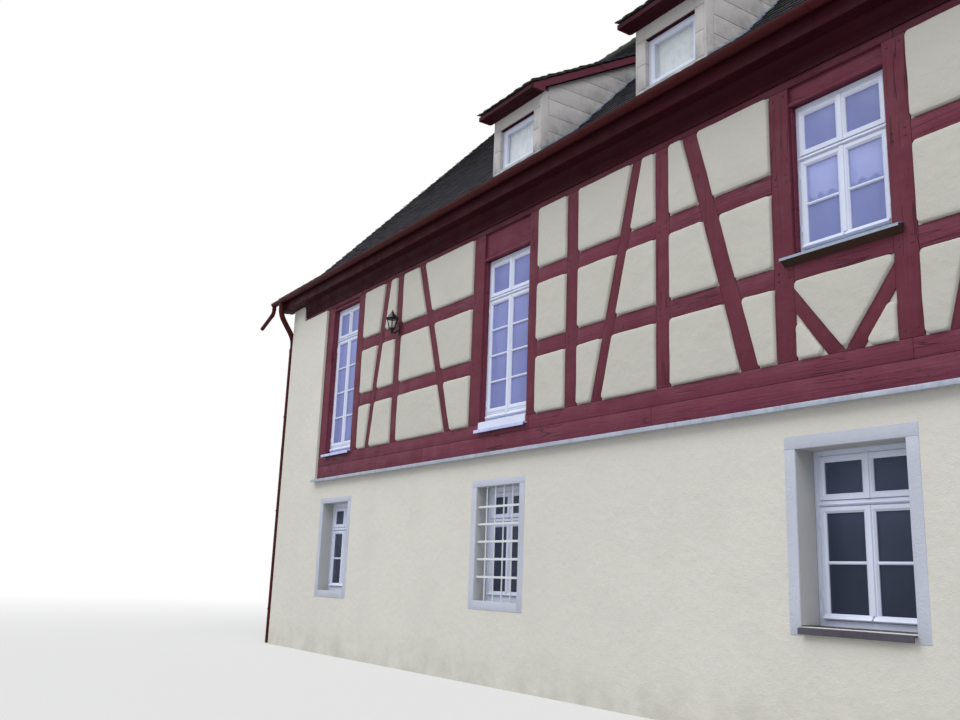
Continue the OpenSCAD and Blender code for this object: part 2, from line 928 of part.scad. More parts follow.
color(cream)  // ground_wall_back
        at_back()
            ground_wall(slab_t);

color(cream)  // gable_wall_left
        gable_wall();

color(cream)  // gable_wall_right
        rotate([0, 0, 180])
            gable_wall();

color(cream)  // corner_walls
        both_fronts()
            corner_wall();

color(zinc)  // flashings
        both_fronts()
            flashing();

color(wine)  // lower_sill_beams
        both_fronts()
            block(-frame_end, frame_end, 0, timber_t, ground_h, ground_h + lower_sill_h);

color(wine)  // upper_sill_beams
        both_fronts()
            block(-frame_end, frame_end, 0, timber_t, ground_h + lower_sill_h, z_sill);

color(wine)  // posts_front
        at_front()
            posts();

color(wine)  // posts_back
        at_back()
            posts();

color(wine)  // rails_front
        at_front()
            rails();

color(wine)  // rails_back
        at_back()
            rails();

color(wine)  // braces_front
        at_front()
            braces();

color(wine)  // braces_back
        at_back()
            braces();

color(wine)  // wall_plates
        both_fronts()
            block(-gable_in, gable_in, 0, timber_t, z_plate, z_plate_top);

color(plaster)  // infill_panels_front
        at_front()
            panels();

color(plaster)  // infill_panels_back
        at_back()
            panels();

color(dark_red)  // eaves_mouldings
        both_fronts()
            eaves_moulding();

color(dark_red)  // eaves_soffits
        both_fronts()
            eaves_soffit();

color(dark_red)  // gutters
        both_fronts()
            gutter();

color(dark_red)  // downpipes
        both_fronts()
            downpipe();

color(timber)  // roof_slope_front
        at_front()
            difference() {
                deck();
                dormer_cutouts(dormer_w / 2 - cheek_t, cheek_t, dormer_v0);
            }

color(timber)  // roof_slope_back
        at_back()
            deck();

color(slate)  // roof_tiles_front
        at_front()
            difference() {
                tiles();
                dormer_cutouts(dormer_w / 2, 0, dormer_v0);
                dormer_cutouts(dormer_w / 2 + dormer_side, dormer_lap_v, dormer_v1);
            }

color(slate)  // roof_tiles_back
        at_back()
            tiles();

color(slate)  // ridge_cap
        at_front()
            ridge();

color(dark_red)  // verge_boards
        both_fronts()
            mirrored()
                verge_board();

color(cream)  // dormer_fronts
        at_front()
            dormers()
                dormer_front();

color(cream)  // dormer_cheeks
        at_front()
            dormers()
                dormer_cheek();

color(slate)  // dormer_roofs
        at_front()
            dormers()
                dormer_roof();

color(white)  // dormer_windows
        at_front()
            dormers()
                single_sash(dormer_open_w, dormer_open_z, dormer_open_z + dormer_open_h, dormer_sash_v);

color(white)  // tall_windows
        both_fronts()
            mirrored()
                for (w = [[bay_1, head_1, transom_1], [bay_2, head_2, transom_2]])
                    sash((w[0][0] + w[0][1]) / 2, w[0][1] - w[0][0], z_sash, z_plate - w[1],
                        z_sash + (z_plate - w[1] - z_sash) * w[2], upper_recess, low = tall_low);

color(white)  // short_windows
        both_fronts()
            sash(0, bay_3[1] - bay_3[0], z_middle_sash, z_plate - head_3,
                z_middle_sash + (z_plate - head_3 - z_middle_sash) * transom_3, upper_recess);

union() {  // ground_windows
    side = surround_w + sash_w;
    color(white) {
        both_fronts()
            for (x = concat(ground_x, -ground_x))
                sash(x, surround_out_w, surround_out_z0, surround_out_z1, ground_transom_z, sash_v, side, side);
        at_front()
            sash(0, middle_out_w, middle_z0 - stone_sill_h, middle_out_z1, ground_transom_z, sash_v, side, side);
    }
}

union() {  // gable_windows
    side = surround_w + sash_w;
    color(white) {
        at_left()
            for (w = gable_windows_at)
                sash(w[0], surround_out_w, w[1] - surround_w, w[1] + gable_open_h + surround_w,
                    w[1] + gable_open_h * 0.7, sash_v, side, side);
        at_right()
            for (w = gable_windows_at)
                sash(w[0], surround_out_w, w[1] - surround_w, w[1] + gable_open_h + surround_w,
                    w[1] + gable_open_h * 0.7, sash_v, side, side);
    }
}

color(glass) {  // window_glass
        both_fronts()
            mirrored()
                for (w = [[bay_1, head_1], [bay_2, head_2]])
                    pane((w[0][0] + w[0][1]) / 2, w[0][1] - w[0][0], z_sash, z_plate - w[1], upper_recess);
        both_fronts()
            pane(0, bay_3[1] - bay_3[0], z_middle_sash, z_plate - head_3, upper_recess);
        both_fronts()
            for (x = concat(ground_x, -ground_x))
                pane(x, surround_out_w, surround_out_z0, surround_out_z1, sash_v);
        at_front()
            pane(0, middle_out_w, middle_z0 - stone_sill_h, middle_out_z1, sash_v);
        at_front()
            dormers()
                pane(0, dormer_open_w, dormer_open_z, dormer_open_z + dormer_open_h, dormer_sash_v);
        at_left()
            for (w = gable_windows_at)
                pane(w[0], surround_out_w, w[1] - surround_w, w[1] + gable_open_h + surround_w, sash_v);
        at_right()
            for (w = gable_windows_at)
                pane(w[0], surround_out_w, w[1] - surround_w, w[1] + gable_open_h + surround_w, sash_v);
    }

color(stone) {  // window_surrounds
        both_fronts()
            ground_surrounds();
        at_front()
            surround(0, middle_open_w, middle_z0, middle_open_z1, middle_z0, middle_out_z1);
        at_back()
            surround(0, middle_open_w, slab_t, middle_open_z1, slab_t, middle_out_z1);
        at_left()
            gable_surrounds();
        at_right()
            gable_surrounds();
    }

color(zinc) {  // window_sills
        both_fronts() {
            mirrored() {
                tall_sill(bay_1);
                tall_sill(bay_2);
            }
            middle_sill();
        }
        at_front()
            block(-middle_out_w / 2, middle_out_w / 2, -wall_proud - 50, sash_v, middle_z0 - stone_sill_h, middle_z0);
    }

color(wine)  // window_heads
        both_fronts() {
            mirrored() {
                window_head(bay_1, head_1, 30);
                window_head(bay_2, head_2, 30);
            }
            window_head(bay_3, head_3, 30);
        }

color(white)  // window_grilles
        at_front() {
            grille(ground_x[1]);
            grille(-ground_x[1]);
        }

color(black)  // wall_lanterns
        at_front()
            mirrored()
                translate([(post_l(2) + post_r(2)) / 2, 0, z_plate - 890])
                    lantern();

color(wine)  // entrance_door
        at_back()
            back_door();
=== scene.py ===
"""Half timbered house: hewn timbers, plaster cushions, tiles, joinery and finishes over the house's frame.

Facade coordinates are x along the wall, v inwards from the timber face and z up, all in metres.
"""

import math

import bpy
import numpy as np
from mathutils import Matrix


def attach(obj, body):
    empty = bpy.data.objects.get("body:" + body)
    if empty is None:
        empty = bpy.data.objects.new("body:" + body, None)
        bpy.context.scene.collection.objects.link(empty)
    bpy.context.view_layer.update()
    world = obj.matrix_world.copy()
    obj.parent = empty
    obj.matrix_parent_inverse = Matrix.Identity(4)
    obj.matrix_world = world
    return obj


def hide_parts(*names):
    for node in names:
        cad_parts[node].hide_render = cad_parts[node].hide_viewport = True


bl_info = {
    "name": "Half Timbered House",
    "version": (1, 0, 0),
    "blender": (4, 5, 0),
    "location": "3D View > Sidebar > House",
    "description": "Builds the timbers, plaster, tiles, windows and finishes of a half timbered house",
    "category": "Add Mesh",
}

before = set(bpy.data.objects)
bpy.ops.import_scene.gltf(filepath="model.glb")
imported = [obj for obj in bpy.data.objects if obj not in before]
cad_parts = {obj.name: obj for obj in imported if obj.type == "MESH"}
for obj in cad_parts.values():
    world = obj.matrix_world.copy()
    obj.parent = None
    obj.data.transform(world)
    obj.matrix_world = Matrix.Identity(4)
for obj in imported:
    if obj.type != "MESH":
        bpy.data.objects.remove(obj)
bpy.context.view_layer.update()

# Levels: top of the masonry, tops of both sill beams, underside and top of the wall plate, soffit
GROUND, SILL_JOINT, SILL, PLATE, PLATE_TOP, SOFFIT = 2.765, 3.002, 3.173, 5.772, 5.98, 6.06
# Lower and upper edges of the rails, and of the rows of fields between them
RAILS = [(3.874, 4.066), (4.790, 4.982)]
ROWS = [(SILL, RAILS[0][0]), (RAILS[0][1], RAILS[1][0]), (RAILS[1][1], PLATE)]
# Under the middle window: edges of its rail, foot of its frame and foot of the boards beside its sashes
PARAPET, MIDDLE_SILL, MIDDLE_FOOT, MIDDLE_SASH = 3.90, 4.092, 4.146, 4.172
# Lower edge of the boards under the inner tall windows
SILL_LAP = 3.095
# Half the depth, ends of the timber frame, inner and outer face of the gable walls, ends of the roof
HALF_DEPTH, FRAME_END, GABLE_IN, BODY_END, ROOF_END = 4.8, 10.4215, 11.40, 11.90, 12.12
# How far the masonry stands in front of the timber face
PROUD = 0.04
# Half the width of the middle window's bay
MIDDLE_HALF = 0.4855

# Posts of the left half, from the corner to the middle, as left and right edge
POSTS = [
    (-FRAME_END, -10.1705), (-9.2272, -8.9772), (-7.8891, -7.6891), (-5.7266, -5.4766),
    (-4.4583, -4.2743), (-3.7121, -3.4961), (-2.2208, -2.0208), (-0.7035, -MIDDLE_HALF),
]
# Braces of the left half: left and right edge at the plate, left and right edge at the sill
BRACES = [
    (-8.2782, -8.0882, -8.7082, -8.5582), (-7.2301, -7.0501, -6.3301, -6.1701),
    (-2.5721, -2.4131, -3.2511, -3.0751), (-1.8268, -1.6288, -1.1138, -0.9038),
]
# Bays with plaster fields in the left half: left and right edge, and the number of the brace in it
BAYS = [
    (POSTS[1][1], POSTS[2][0], 0), (POSTS[2][1], POSTS[3][0], 1), (POSTS[4][1], POSTS[5][0], None),
    (POSTS[5][1], POSTS[6][0], 2), (POSTS[6][1], POSTS[7][0], 3),
]
# Bays of the outer tall window, the inner tall window and the middle window
OUTER_BAY, INNER_BAY = (POSTS[0][1], POSTS[1][0]), (POSTS[3][1], POSTS[4][0])
MIDDLE_BAY = (-MIDDLE_HALF, MIDDLE_HALF)
# Struts under the middle window: heights over the sill of their upper and lower edges at the posts and of
# the upper edges' meeting, and half the width of their foot
STRUT_TOP, STRUT_LOW, STRUT_MEET, STRUT_FOOT = 0.647, 0.431, 0.007, 0.171

# Roof surface at the top of the tiles: eave, end of the flare and ridge. The tiles' bed lies lower
EAVE_V, EAVE_Z, FLARE_V, FLARE_Z, RIDGE_Z = -0.27, 6.36, 0.55, 7.0193, 11.5768
DECK_DROP = 0.07
# Dormers: their middles, half the width over the cheeks and over the eaves, top of the cheeks at the front,
# underside of the eaves, depths where cheeks and roof end, and pitch
DORMERS = (-4.83, -2.0, 2.0, 4.83)
DORMER_HALF, DORMER_EAVES, DORMER_TOP, DORMER_SOFFIT = 0.53, 0.615, 7.43, 7.36
CHEEK_END, DORMER_END, DORMER_PITCH = 2.16, 2.46, math.radians(30)

# Windows in the masonry: their middles, the opening's width, foot and top, the middle window's width and the
# width of the stone band round them
GROUND_X = (-9.5305, -4.9398, 4.9398, 9.5305)
OPENING, OPENING_FOOT, OPENING_TOP, MIDDLE_OPENING, BAND = 0.915, 0.975, 2.36, 1.03, 0.108
# Depths at which the sashes of the upper windows and of the deep and shallow openings stand
UPPER_RECESS, DEEP_RECESS, SHALLOW_RECESS = 0.08, 0.2, 0.14
# Windows of the gables: place along the wall and foot
GABLE_WINDOWS = [(-2.3, 0.975), (2.3, 0.975), (-2.3, 3.65), (2.3, 3.65), (-0.9, 7.0), (0.9, 7.0)]
# Lanterns: their post, height under the wall plate and scale of their profiles
LANTERN_X, LANTERN_DROP, LANTERN_SCALE = 7.7891, 0.88, np.array([0.9, 0.9, 0.765])
# Middle of the downpipes at the gable walls
PIPE_X = 11.983


def roof_z(v):
    """Height of the tile surface: the flare's line before FLARE_V and the main slope's line after it."""
    v = np.asarray(v, float)
    return np.where(
        v < FLARE_V,
        EAVE_Z + (v - EAVE_V) * (FLARE_Z - EAVE_Z) / (FLARE_V - EAVE_V),
        FLARE_Z + (v - FLARE_V) * (RIDGE_Z - FLARE_Z) / (HALF_DEPTH - FLARE_V),
    )


# Places of the four facades


def front(p):
    """Front: (x, v - half the depth, z)."""
    return p + np.array([0, -HALF_DEPTH, 0])


def back(p):
    """Back: the front after half a turn about the upright axis."""
    return (p + np.array([0, -HALF_DEPTH, 0])) * np.array([-1, -1, 1])


def left(p):
    """Left gable: (v - face, -x, z), with the wall's face set back to where timbers would be."""
    return np.stack([p[..., 1] - BODY_END + PROUD, -p[..., 0], p[..., 2]], -1)


def right(p):
    """Right gable: (face - v, x, z)."""
    return np.stack([BODY_END - PROUD - p[..., 1], p[..., 0], p[..., 2]], -1)


def moved(place, x):
    """The facade's place with everything shifted along it first."""
    return lambda p: place(p + np.array([x, 0.0, 0.0]))


# Meshes from arrays


def grid_faces(rows, cols, close_rows=False, close_cols=False):
    """Quads (i, j), (i, j+1), (i+1, j+1), (i+1, j) of a grid of points, wrapped where it closes."""
    i = np.arange(rows if close_rows else rows - 1)[:, None]
    j = np.arange(cols if close_cols else cols - 1)[None]
    ahead, beside = (i + 1) % rows, (j + 1) % cols
    return np.stack(
        [i * cols + j, i * cols + beside, ahead * cols + beside, ahead * cols + j], -1
    ).reshape(-1, 4)


class Heap:
    """Blocks of points and faces that become one mesh."""

    def __init__(self):
        self.points, self.faces, self.tones, self.count = [], [], [], 0

    def add(self, points, faces, tone=0.5, shut=True):
        """Takes a block. Where it is a closed form, its volume as the sum of p0 . (p1 x p2) / 6 over its
        triangles tells whether the faces look inwards, and they are turned round then."""
        points = np.asarray(points, float).reshape(-1, 3)
        if shut:
            origin = points.mean(0)
            volume = 0.0
            for f in faces:
                p = points[f] - origin
                for j in range(1, f.shape[1] - 1):
                    volume += (p[:, 0] * np.cross(p[:, j], p[:, j + 1])).sum()
            if volume < 0:
                faces = [f[:, ::-1] for f in faces]
        self.faces += [f + self.count for f in faces]
        self.points.append(points)
        self.tones.append(np.broadcast_to(np.asarray(tone, float), (len(points),)))
        self.count += len(points)

    def copies(self, points, faces, tone=0.5):
        """Takes m copies of one closed form at once: points is an array of m x n x 3."""
        m, n = points.shape[:2]
        first = Heap()
        first.add(points[0], faces)
        shift = np.arange(m)[:, None, None] * n + self.count
        self.faces += [(f[None] + shift).reshape(-1, f.shape[1]) for f in first.faces]
        self.points.append(points.reshape(-1, 3))
        self.tones.append(np.repeat(np.broadcast_to(np.asarray(tone, float), (m,)), n))
        self.count += m * n


def piece(name, heap, look, replaces=(), sharp=35):
    """One mesh object from a heap, on the house's body, with edges sharper than the angle kept hard."""
    mesh = bpy.data.meshes.new(name)
    points = np.concatenate(heap.points)
    totals = np.concatenate([np.full(len(f), f.shape[1]) for f in heap.faces])
    loops = np.concatenate([f.ravel() for f in heap.faces])
    mesh.vertices.add(len(points))
    mesh.vertices.foreach_set("co", points.astype(np.float32).ravel())
    mesh.loops.add(len(loops))
    mesh.loops.foreach_set("vertex_index", loops.astype(np.int32))
    mesh.polygons.add(len(totals))
    mesh.polygons.foreach_set(
        "loop_start", np.concatenate([[0], np.cumsum(totals)[:-1]]).astype(np.int32)
    )
    tone = mesh.attributes.new("tone", "FLOAT", "POINT")
    tone.data.foreach_set("value", np.concatenate(heap.tones).astype(np.float32))
    mesh.materials.append(look)
    mesh.update(calc_edges=True)
    mesh.shade_smooth()
    mesh.set_sharp_from_angle(angle=math.radians(sharp))
    obj = bpy.data.objects.new(name, mesh)
    bpy.context.scene.collection.objects.link(obj)
    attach(obj, "root")
    if replaces:
        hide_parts(*replaces)
    return obj


def wave(a, b, seed=0.0):
    """Three sine waves over a and b, 0.5 to 2 m long, that add up to values between about -1 and 1."""
    return (
        0.5 * np.sin(3.1 * a + 1.3 * b + seed)
        + 0.32 * np.sin(7.3 * b - 3.7 * a + 2.1 * seed + 1)
        + 0.18 * np.sin(12.7 * a + 9.1 * b + 0.7 * seed + 2)
    )


def hewn(x, v, z, size):
    """Facade points moved by smooth waves of that size, and by half of it in depth, so that neighbours stay
    together."""
    return np.stack(
        [x + size * wave(x, z), v + 0.5 * size * wave(z, x, 3.0), z + size * wave(z, x, 5.0)], -1
    )


def stack_faces(rings, sides, tip=False):
    """Faces of rings on top of each other, closed at both ends; tip ends the last ring in one point."""
    faces = [grid_faces(rings, sides, close_cols=True), np.arange(sides)[::-1][None]]
    last = np.arange(sides) + (rings - 1) * sides
    if tip:
        faces.append(np.stack([last, np.roll(last, -1), np.full(sides, rings * sides)], -1))
    else:
        faces.append(last[None])
    return faces


def stack(heap, rings, tone=0.5, tip=False):
    """Closed form through rings of equal length."""
    rings = np.asarray(rings, float)
    n, k = rings.shape[:2]
    points = rings.reshape(-1, 3)
    if tip:
        points = np.vstack([points, rings[-1].mean(0)])
    heap.add(points, stack_faces(n, k, tip), tone)


def chosen(name):
    """A size from the settings in metres, rounded to micrometres because a setting is a short float."""
    return round(getattr(bpy.context.scene.house_sizes, name), 6)


def timber(heap, place, a, b, c, d, seed=0.0, v0=0.0, v1=0.2, arris=0.007, step=0.25, size=None):
    """Squared timber between the ends a-d and b-c, given in x and z. The point at t along and s across is
    the blend (1-t)(1-s)a + t(1-s)b + ts c + (1-t)s d; s and the depth follow the section's rounded arrises,
    and smooth waves make it hand cut."""
    size = chosen("unevenness") if size is None else size
    a, b, c, d = (np.asarray(q, float) for q in (a, b, c, d))
    length = np.linalg.norm((b + c - a - d) / 2)
    width = np.linalg.norm((d + c - a - b) / 2)
    e = arris / width
    s = np.array([0, 0, 0.3 * e, e, 0.5, 1 - e, 1 - 0.3 * e, 1, 1])
    depth = np.array([v1, v0 + arris, v0 + 0.3 * arris, v0, v0, v0, v0 + 0.3 * arris, v0 + arris, v1])
    inner = np.linspace(0, 1, max(2, math.ceil(length / step)) + 1)[1:-1]
    t = np.concatenate([[0, 0.3 * arris / length, arris / length], inner])
    t = np.concatenate([t, 1 - t[2::-1]])[:, None]
    s, depth = s[None], np.repeat(depth[None], len(t), 0)
    depth[[0, -1]] = np.maximum(depth[[0, -1]], v0 + arris)
    depth[[1, -2]] = np.maximum(depth[[1, -2]], v0 + 0.3 * arris)
    x, z = (
        (1 - t) * (1 - s) * a[i] + t * (1 - s) * b[i] + t * s * c[i] + (1 - t) * s * d[i]
        for i in (0, 1)
    )
    tone = 0.5 + 0.5 * math.sin(17.3 * (a[0] + c[0]) + 9.1 * (a[1] + seed))
    stack(heap, place(hewn(x, depth, z, size)), tone)


def beam(heap, place, x0, x1, z0, z1, **kind):
    """Level timber between two corners."""
    timber(heap, place, (x0, z0), (x1, z0), (x1, z1), (x0, z1), **kind)


def post(heap, place, x0, x1, z0, z1, **kind):
    """Upright timber between two corners."""
    timber(heap, place, (x0, z0), (x0, z1), (x1, z1), (x1, z0), **kind)


def outline(corners, inset, radius, counts=None, turns=5):
    """Convex field, listed anticlockwise, with its edges moved inwards by inset and its corners turned on
    circles of that radius: centre = corner - (inset + radius) (n0 + n1) / (1 + n0 . n1) for the outward
    normals n0 and n1 beside it. Long edges get points in between, about 11 cm apart."""
    p = np.asarray(corners, float)
    edge = np.roll(p, -1, 0) - p
    n1 = np.stack([edge[:, 1], -edge[:, 0]], 1) / np.linalg.norm(edge, axis=1)[:, None]
    n0 = np.roll(n1, 1, 0)
    centre = p - (inset + radius) * (n0 + n1) / (1 + (n0 * n1).sum(1))[:, None]
    start = np.arctan2(n0[:, 1], n0[:, 0])
    turn = (np.arctan2(n1[:, 1], n1[:, 0]) - start) % (2 * np.pi)
    angle = start[:, None] + turn[:, None] * np.linspace(0, 1, turns)
    arcs = centre[:, None] + radius * np.stack([np.cos(angle), np.sin(angle)], -1)
    if counts is None:
        counts = np.ceil(np.linalg.norm(edge, axis=1) / 0.11).astype(int)
    parts = []
    for i in range(len(p)):
        share = np.linspace(0, 1, counts[i] + 1)[1:-1, None]
        parts += [arcs[i], arcs[i][-1] * (1 - share) + arcs[(i + 1) % len(p)][0] * share]
    return np.concatenate(parts), counts


def slab(heap, place, corners, v0, v1, arris=0.006, radius=0.002, inset=0.0, tone=0.5, turns=3):
    """Plate with a convex outline between two depths and a rounded front arris."""
    counts = outline(corners, inset, radius)[1]
    rings = []
    for gap, v in ((0, v1), (0, v0 + arris), (0.3 * arris, v0 + 0.3 * arris), (arris, v0)):
        flat = outline(corners, inset + gap, radius, counts, turns)[0]
        rings.append(np.stack([flat[:, 0], np.full(len(flat), v), flat[:, 1]], -1))
    stack(heap, place(np.array(rings)), tone)


def box(heap, place, x0, x1, v0, v1, z0, z1, arris=0.004, tone=0.5):
    """Plate with a rectangular outline."""
    slab(heap, place, [(x0, z0), (x1, z0), (x1, z1), (x0, z1)], v0, v1, arris, 0.001, tone=tone, turns=2)


def run(heap, place, x0, x1, profile, step=None, size=0.0, tone=0.5):
    """Profile in v and z carried along x."""
    profile = np.asarray(profile, float)
    n = 2 if step is None else max(2, math.ceil((x1 - x0) / step) + 1)
    x = np.linspace(x0, x1, n)[:, None] + 0 * profile[:, 0]
    v, z = profile[:, 0] + 0 * x, profile[:, 1] + 0 * x
    v = v + size * wave(x, 0 * x, 4.0)
    z = z + size * wave(x, 0 * x, 9.0)
    stack(heap, place(np.stack([x, v, z], -1)), tone)


def mitred(heap, place, x0, x1, z0, z1, section):
    """Frame round a rectangle: a section of points (inwards, depth) carried round its four corners."""
    section = np.asarray(section, float)
    cx, cz = np.array([x0, x1, x1, x0]), np.array([z0, z0, z1, z1])
    sx, sz = np.array([1, -1, -1, 1]), np.array([1, 1, -1, -1])
    x = cx[:, None] + sx[:, None] * section[:, 0]
    z = cz[:, None] + sz[:, None] * section[:, 0]
    points = place(np.stack([x, np.broadcast_to(section[:, 1], x.shape), z], -1))
    heap.add(points, [grid_faces(4, len(section), True, True)])


def bar(heap, place, start, end, section, tone=0.5):
    """Straight bar from start to end (x and z): a section of points (across, depth) at both ends."""
    start, end = np.asarray(start, float), np.asarray(end, float)
    along = (end - start) / np.linalg.norm(end - start)
    across = np.array([-along[1], along[0]])
    section = np.asarray(section, float)
    ends = np.array([start, end])[:, None] + across * section[:, :1]
    depth = np.broadcast_to(section[:, 1], ends.shape[:2])
    stack(heap, place(np.stack([ends[..., 0], depth, ends[..., 1]], -1)), tone)


def tube(heap, path, radius, sides):
    """Round bar along a path of points: circles of that radius square to the path's direction."""
    path = np.asarray(path, float)
    radius = np.broadcast_to(np.asarray(radius, float), (len(path),))
    along = np.gradient(path, axis=0)
    along /= np.linalg.norm(along, axis=1)[:, None]
    side = np.cross(along, [0.13, 0.21, 0.97])
    level = np.abs(along[:, 2]) > 0.9
    side[level] = np.cross(along[level], [0.9, 0.35, 0.0])
    if level.any() and not level.all():
        side[:] = np.cross(along, [0.93, 0.31, 0.17])
    side /= np.linalg.norm(side, axis=1)[:, None]
    other = np.cross(along, side)
    angle = np.linspace(0, 2 * np.pi, sides, endpoint=False)[:, None]
    rings = [
        p + r * (np.cos(angle) * s + np.sin(angle) * o)
        for p, r, s, o in zip(path, radius, side, other)
    ]
    stack(heap, np.array(rings))


def swept(corners, radius):
    """Path along straight legs with their corners rounded: points of the curve
    (1-t)^2 a + 2t(1-t) corner + t^2 b between the ends a and b of the two legs beside each corner."""
    corners = np.asarray(corners, float)
    path = [corners[0]]
    t = np.linspace(0, 1, 7)[:, None]
    for before, corner, after in zip(corners, corners[1:], corners[2:]):
        a = corner + (before - corner) / np.linalg.norm(before - corner) * radius
        b = corner + (after - corner) / np.linalg.norm(after - corner) * radius
        path += list((1 - t) ** 2 * a + 2 * t * (1 - t) * corner + t**2 * b)
    return np.array([*path, corners[-1]])


def ring_path(centre, along):
    """Path of 3 cm through a point, for a sleeve on a pipe."""
    along = np.asarray(along, float) / np.linalg.norm(along)
    return np.array([centre + along * s * 0.03 for s in (-0.5, 0.0, 0.5)])


def turned(heap, centre, profile, sides=16, tone=0.5, phase=0.0):
    """Turned form: profile of (radius, height) swept round the upright axis through the centre."""
    profile = np.asarray(profile, float)
    angle = np.linspace(0, 2 * np.pi, sides, endpoint=False) + phase
    rings = np.stack(
        [
            centre[0] + profile[:, :1] * np.cos(angle),
            centre[1] + profile[:, :1] * np.sin(angle),
            centre[2] + profile[:, 1:] + 0 * angle,
        ],
        -1,
    )
    stack(heap, rings, tone)


def flipped(corners):
    """Mirror image of a field in the other half, still listed anticlockwise."""
    return [(-x, z) for x, z in corners][::-1]


def clipped(shape, a, b):
    """What stays of a convex field on the left of the line from a to b."""
    kept = []
    for p, q in zip(shape, shape[1:] + shape[:1]):
        s = (b[0] - a[0]) * (p[1] - a[1]) - (b[1] - a[1]) * (p[0] - a[0])
        t = (b[0] - a[0]) * (q[1] - a[1]) - (b[1] - a[1]) * (q[0] - a[0])
        if s >= 0:
            kept.append(p)
        if s * t < 0:
            k = s / (s - t)
            kept.append((p[0] + (q[0] - p[0]) * k, p[1] + (q[1] - p[1]) * k))
    return kept


def cells(bay, z0, z1):
    """Fields of one row of a bay, left and right of its brace."""
    x0, x1, brace = bay
    shape = [(x0, z0), (x1, z0), (x1, z1), (x0, z1)]
    if brace is None:
        return [shape]
    top_l, top_r, foot_l, foot_r = BRACES[brace]
    return [
        clipped(shape, (foot_l, SILL), (top_l, PLATE)),
        clipped(shape, (top_r, PLATE), (foot_r, SILL)),
    ]


def both_halves(shapes):
    """Every field, each followed by its mirror image."""
    return [s for shape in shapes for s in (shape, flipped(shape))]


# Finishes


class Finish:
    """A material in the making. Its patterns read the object's own coordinates in metres."""

    def __init__(self, name, colour, roughness=0.6, metallic=0.0, **sockets):
        self.material = bpy.data.materials.new(name)
        self.material.use_nodes = True
        self.tree = self.material.node_tree
        self.shader = self.tree.nodes["Principled BSDF"]
        self.shader.inputs["Roughness"].default_value = roughness
        self.shader.inputs["Metallic"].default_value = metallic
        for key, value in sockets.items():
            self.shader.inputs[key.replace("_", " ")].default_value = value
        self.colour = tuple(colour) + (1.0,)
        self.normal = None
        self.place = self.tree.nodes.new("ShaderNodeTexCoord").outputs["Object"]

    def node(self, kind, inputs=None, **settings):
        """Adds a shader node and links the sockets, or sets the values, that its inputs are given."""
        n = self.tree.nodes.new("ShaderNode" + kind)
        for key, value in settings.items():
            setattr(n, key, value)
        for key, value in (inputs or {}).items():
            if isinstance(value, bpy.types.NodeSocket):
                self.tree.links.new(value, n.inputs[key])
            else:
                n.inputs[key].default_value = value
        return n

    def between(self, value, low, high, a=0.0, b=1.0):
        """Value from low to high becomes a to b, and stays there beyond."""
        keys = {"Value": value, "From Min": low, "From Max": high, "To Min": a, "To Max": b}
        return self.node("MapRange", keys).outputs[0]

    def noise(self, size, detail, stretch, rough=0.5, shift=0.0):
        """Noise from 0 to 1 in clouds of that size in metres, drawn out along the axes by stretch."""
        scale = tuple(1 / (size * s) for s in stretch)
        mapping = {"Vector": self.place, "Scale": scale, "Location": (shift, shift, shift)}
        mapped = self.node("Mapping", mapping).outputs[0]
        keys = {"Vector": mapped, "Scale": 1.0, "Detail": detail, "Roughness": rough}
        return self.node("TexNoise", keys).outputs[0]

    def clouds(self, size, detail=3.0, stretch=(1, 1, 1), low=0.35, high=0.65, rough=0.5, shift=0.0):
        """Smooth clouds: noise with the values from low to high spread over 0 to 1."""
        return self.between(self.noise(size, detail, stretch, rough, shift), low, high)

    def lines(self, size, width, stretch, detail):
        """Thin wandering lines: where noise of that size passes its middle value."""
        middle = self.both(self.noise(size, detail, stretch), 0.5, "SUBTRACT")
        off = self.node("Math", {0: middle}, operation="ABSOLUTE").outputs[0]
        return self.between(off, 0.0, width, 1.0, 0.0)

    def axis(self, name):
        """One of the object's own coordinates in metres."""
        return self.node("SeparateXYZ", {0: self.place}).outputs[name]

    def both(self, a, b, operation="MULTIPLY"):
        """Two patterns, or a pattern and a number, joined by a sum or product."""
        return self.node("Math", {0: a, 1: b}, operation=operation).outputs[0]

    def tone(self):
        """The tone from 0 to 1 that the mesh holds for each of its blocks."""
        return self.node("Attribute", attribute_name="tone").outputs["Fac"]

    def tint(self, amount, colour, share=1.0):
        """Blends the colour so far towards another by a pattern."""
        if share != 1.0:
            amount = self.both(amount, share)
        n = self.node("Mix", {0: amount, 6: self.colour, 7: tuple(colour) + (1.0,)}, data_type="RGBA")
        self.colour = n.outputs[2]
        return self

    def relief(self, height, distance):
        """Raises the surface by a pattern, up to that distance in metres."""
        keys = {"Height": height, "Distance": distance}
        if self.normal is not None:
            keys["Normal"] = self.normal
        self.normal = self.node("Bump", keys).outputs[0]
        return self

    def gloss(self, amount, low, high):
        """Roughness from low to high by a pattern."""
        self.tree.links.new(self.between(amount, 0.0, 1.0, low, high), self.shader.inputs["Roughness"])
        return self

    def done(self):
        """Joins colour and relief to the shader and gives the material."""
        if isinstance(self.colour, tuple):
            self.shader.inputs["Base Color"].default_value = self.colour
        else:
            self.tree.links.new(self.colour, self.shader.inputs["Base Color"])
        if self.normal is not None:
            self.tree.links.new(self.normal, self.shader.inputs["Normal"])
        return self.material


def shade(colour, k):
    """The colour made k times as bright, up to white."""
    return tuple(min(1.0, c * k) for c in colour)


